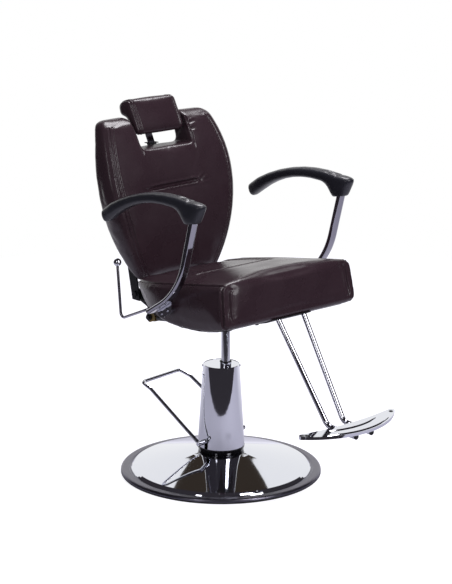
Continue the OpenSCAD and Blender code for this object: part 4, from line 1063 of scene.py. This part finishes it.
# %% Head pad form
HEAD_HALF = 95
HEAD_LINE = [(304.6, 580), (310, 589), (318, 594), (336, 592), (353, 586), (362, 580), (367, 571), (366, 558),
             (362, 545), (355, 538), (344, 536), (334, 534), (322, 524), (309, 506), (297, 491), (287, 486),
             (277, 487), (268, 496), (266, 508), (275, 528), (286, 548), (295, 563)]
HEAD_MID = Vector((322, 556))
LIP_MID = Vector((283, 506))
HEAD_SLIM = 2
END_ROUNDING = ((3, 16), (5, 9), (10, 4.5), (19, 3))


def head_ring(x, draw_in):
    """One outline of the head pad at x, drawn in towards its spine."""
    out = []
    for p in map(Vector, HEAD_LINE):
        axis = HEAD_MID - LIP_MID
        q = LIP_MID + axis * min(1, max(0, (p - LIP_MID).dot(axis) / axis.dot(axis)))
        r = (p - q).length
        s = q + (p - q) * ((r - draw_in) / r)
        out.append(at_seat(x, s.x, s.y))
    return out


def head_pad_form():
    """A ring of points, pulled out sideways and drawn in at both ends."""
    mesh = bpy.data.meshes.new("headrest_cover")
    bm = bmesh.new()
    stations = [(HEAD_HALF - d, r) for d, r in END_ROUNDING]
    stations = [(-x, r) for x, r in stations] + [(0, HEAD_SLIM)] + stations[::-1]
    ring = bmesh.ops.create_circle(bm, segments=len(HEAD_LINE), radius=1)["verts"]
    edges = list(bm.edges)
    for i, (x, r) in enumerate(stations):
        if i:
            pulled = bmesh.ops.extrude_edge_only(bm, edges=edges)["geom"]
            ring = [g for g in pulled if isinstance(g, bmesh.types.BMVert)]
            edges = [g for g in pulled if isinstance(g, bmesh.types.BMEdge)]
        for v, p in zip(ring, head_ring(x, r)):
            v.co = p
    bmesh.ops.holes_fill(bm, edges=bm.edges)
    bmesh.ops.recalc_face_normals(bm, faces=bm.faces)
    bm.to_mesh(mesh)
    bm.free()
    made = bpy.data.objects.new("headrest_cover", mesh)
    bpy.context.scene.collection.objects.link(made)
    return made


headrest = head_pad_form()
print("head pad:", 2 * HEAD_HALF, "mm wide")

# %% [markdown]
# Each end panel has two seams, one at its edge and one further in, and a row of stitches beside
# the inner one. They close on themselves around the roll, so each line ends with its first point.

# %% Head pad simulation
def closed(line):
    """The same line, ending where it starts."""
    return line + line[:1]


head_seams = [closed(head_ring(s * (HEAD_HALF - d), HEAD_SLIM)) for s in (-1, 1) for d in (9, 20)]
remesh(headrest, 4)
puff(headrest, head_seams, 4)
refine(headrest)
for line in head_seams:
    seam(headrest, line, depth_mm=1.8, width_mm=2.0, lift_mm=0.8)
smooth_shade(headrest, vinyl)
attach(headrest, "headrest")
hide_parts("headrest_pad")
print("head pad cover:", len(headrest.data.polygons), "faces")
rows = [closed(head_ring(s * (HEAD_HALF - 25), HEAD_SLIM)) for s in (-1, 1)]
stitches("headrest_stitches", headrest, rows, "headrest")

# %% [markdown]
# Each arm pad is one moulding of self-skinning foam around the end of the arm tube: a long, bowed
# rest with an oval section, and a nose that closes over the tube. It has no seams to hold, so
# cloth simulation has nothing to add. Its form starts as a welded copy of the CAD solid, which is
# covered with even faces and smoothed until it has the soft edges of a moulding. The nose's
# parting step and the oval plug over the fixing are pressed in last.

# %% Arm pads
ARM_X = 286
NOSE_Y = -188
NOSE_STEP = 2.0
NOSE_SLOPE = 4
PLUG_Y = -166
PLUG_LONG = 17
PLUG_WIDE = 9
PLUG_DEPTH = 2.2
PLUG_EDGE = 0.24
PAD_SWELL = 0.7
WELD = 0.01


def arm_pad(name, node, side):
    """A moulded pad that stands for the CAD pad of one side."""
    bm = bmesh.new()
    bm.from_mesh(nodes[node].data)
    bmesh.ops.remove_doubles(bm, verts=bm.verts, dist=WELD * MM)
    mesh = bpy.data.meshes.new(name)
    bm.to_mesh(mesh)
    bm.free()
    pad = bpy.data.objects.new(name, mesh)
    bpy.context.scene.collection.objects.link(pad)
    remesh(pad, 3, 30)
    refine(pad)
    normals = [v.normal.copy() for v in pad.data.vertices]
    for v, normal in zip(pad.data.vertices, normals):
        v.co += normal * PAD_SWELL * MM
        x, y = v.co.x / MM - side * ARM_X, v.co.y / MM
        oval = math.hypot((y - PLUG_Y) / PLUG_LONG, x / PLUG_WIDE)
        ring = PLUG_DEPTH * math.exp(-((oval - 1) / PLUG_EDGE) ** 2)
        step = NOSE_STEP * ramp(NOSE_Y + NOSE_SLOPE / 2 - y, NOSE_SLOPE)
        facing_up = ramp(normal.z - 0.2, 0.5)
        v.co.z -= (ring + step) * facing_up * MM
    pad.data.update()
    smooth_shade(pad, pad_foam)
    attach(pad, "seat")
    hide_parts(node)
    return pad


for hand, side in (("left", 1), ("right", -1)):
    pad = arm_pad("arm_pad_skin_" + hand, "arm_pad_" + hand, side)
    print(pad.name, len(pad.data.polygons), "faces")
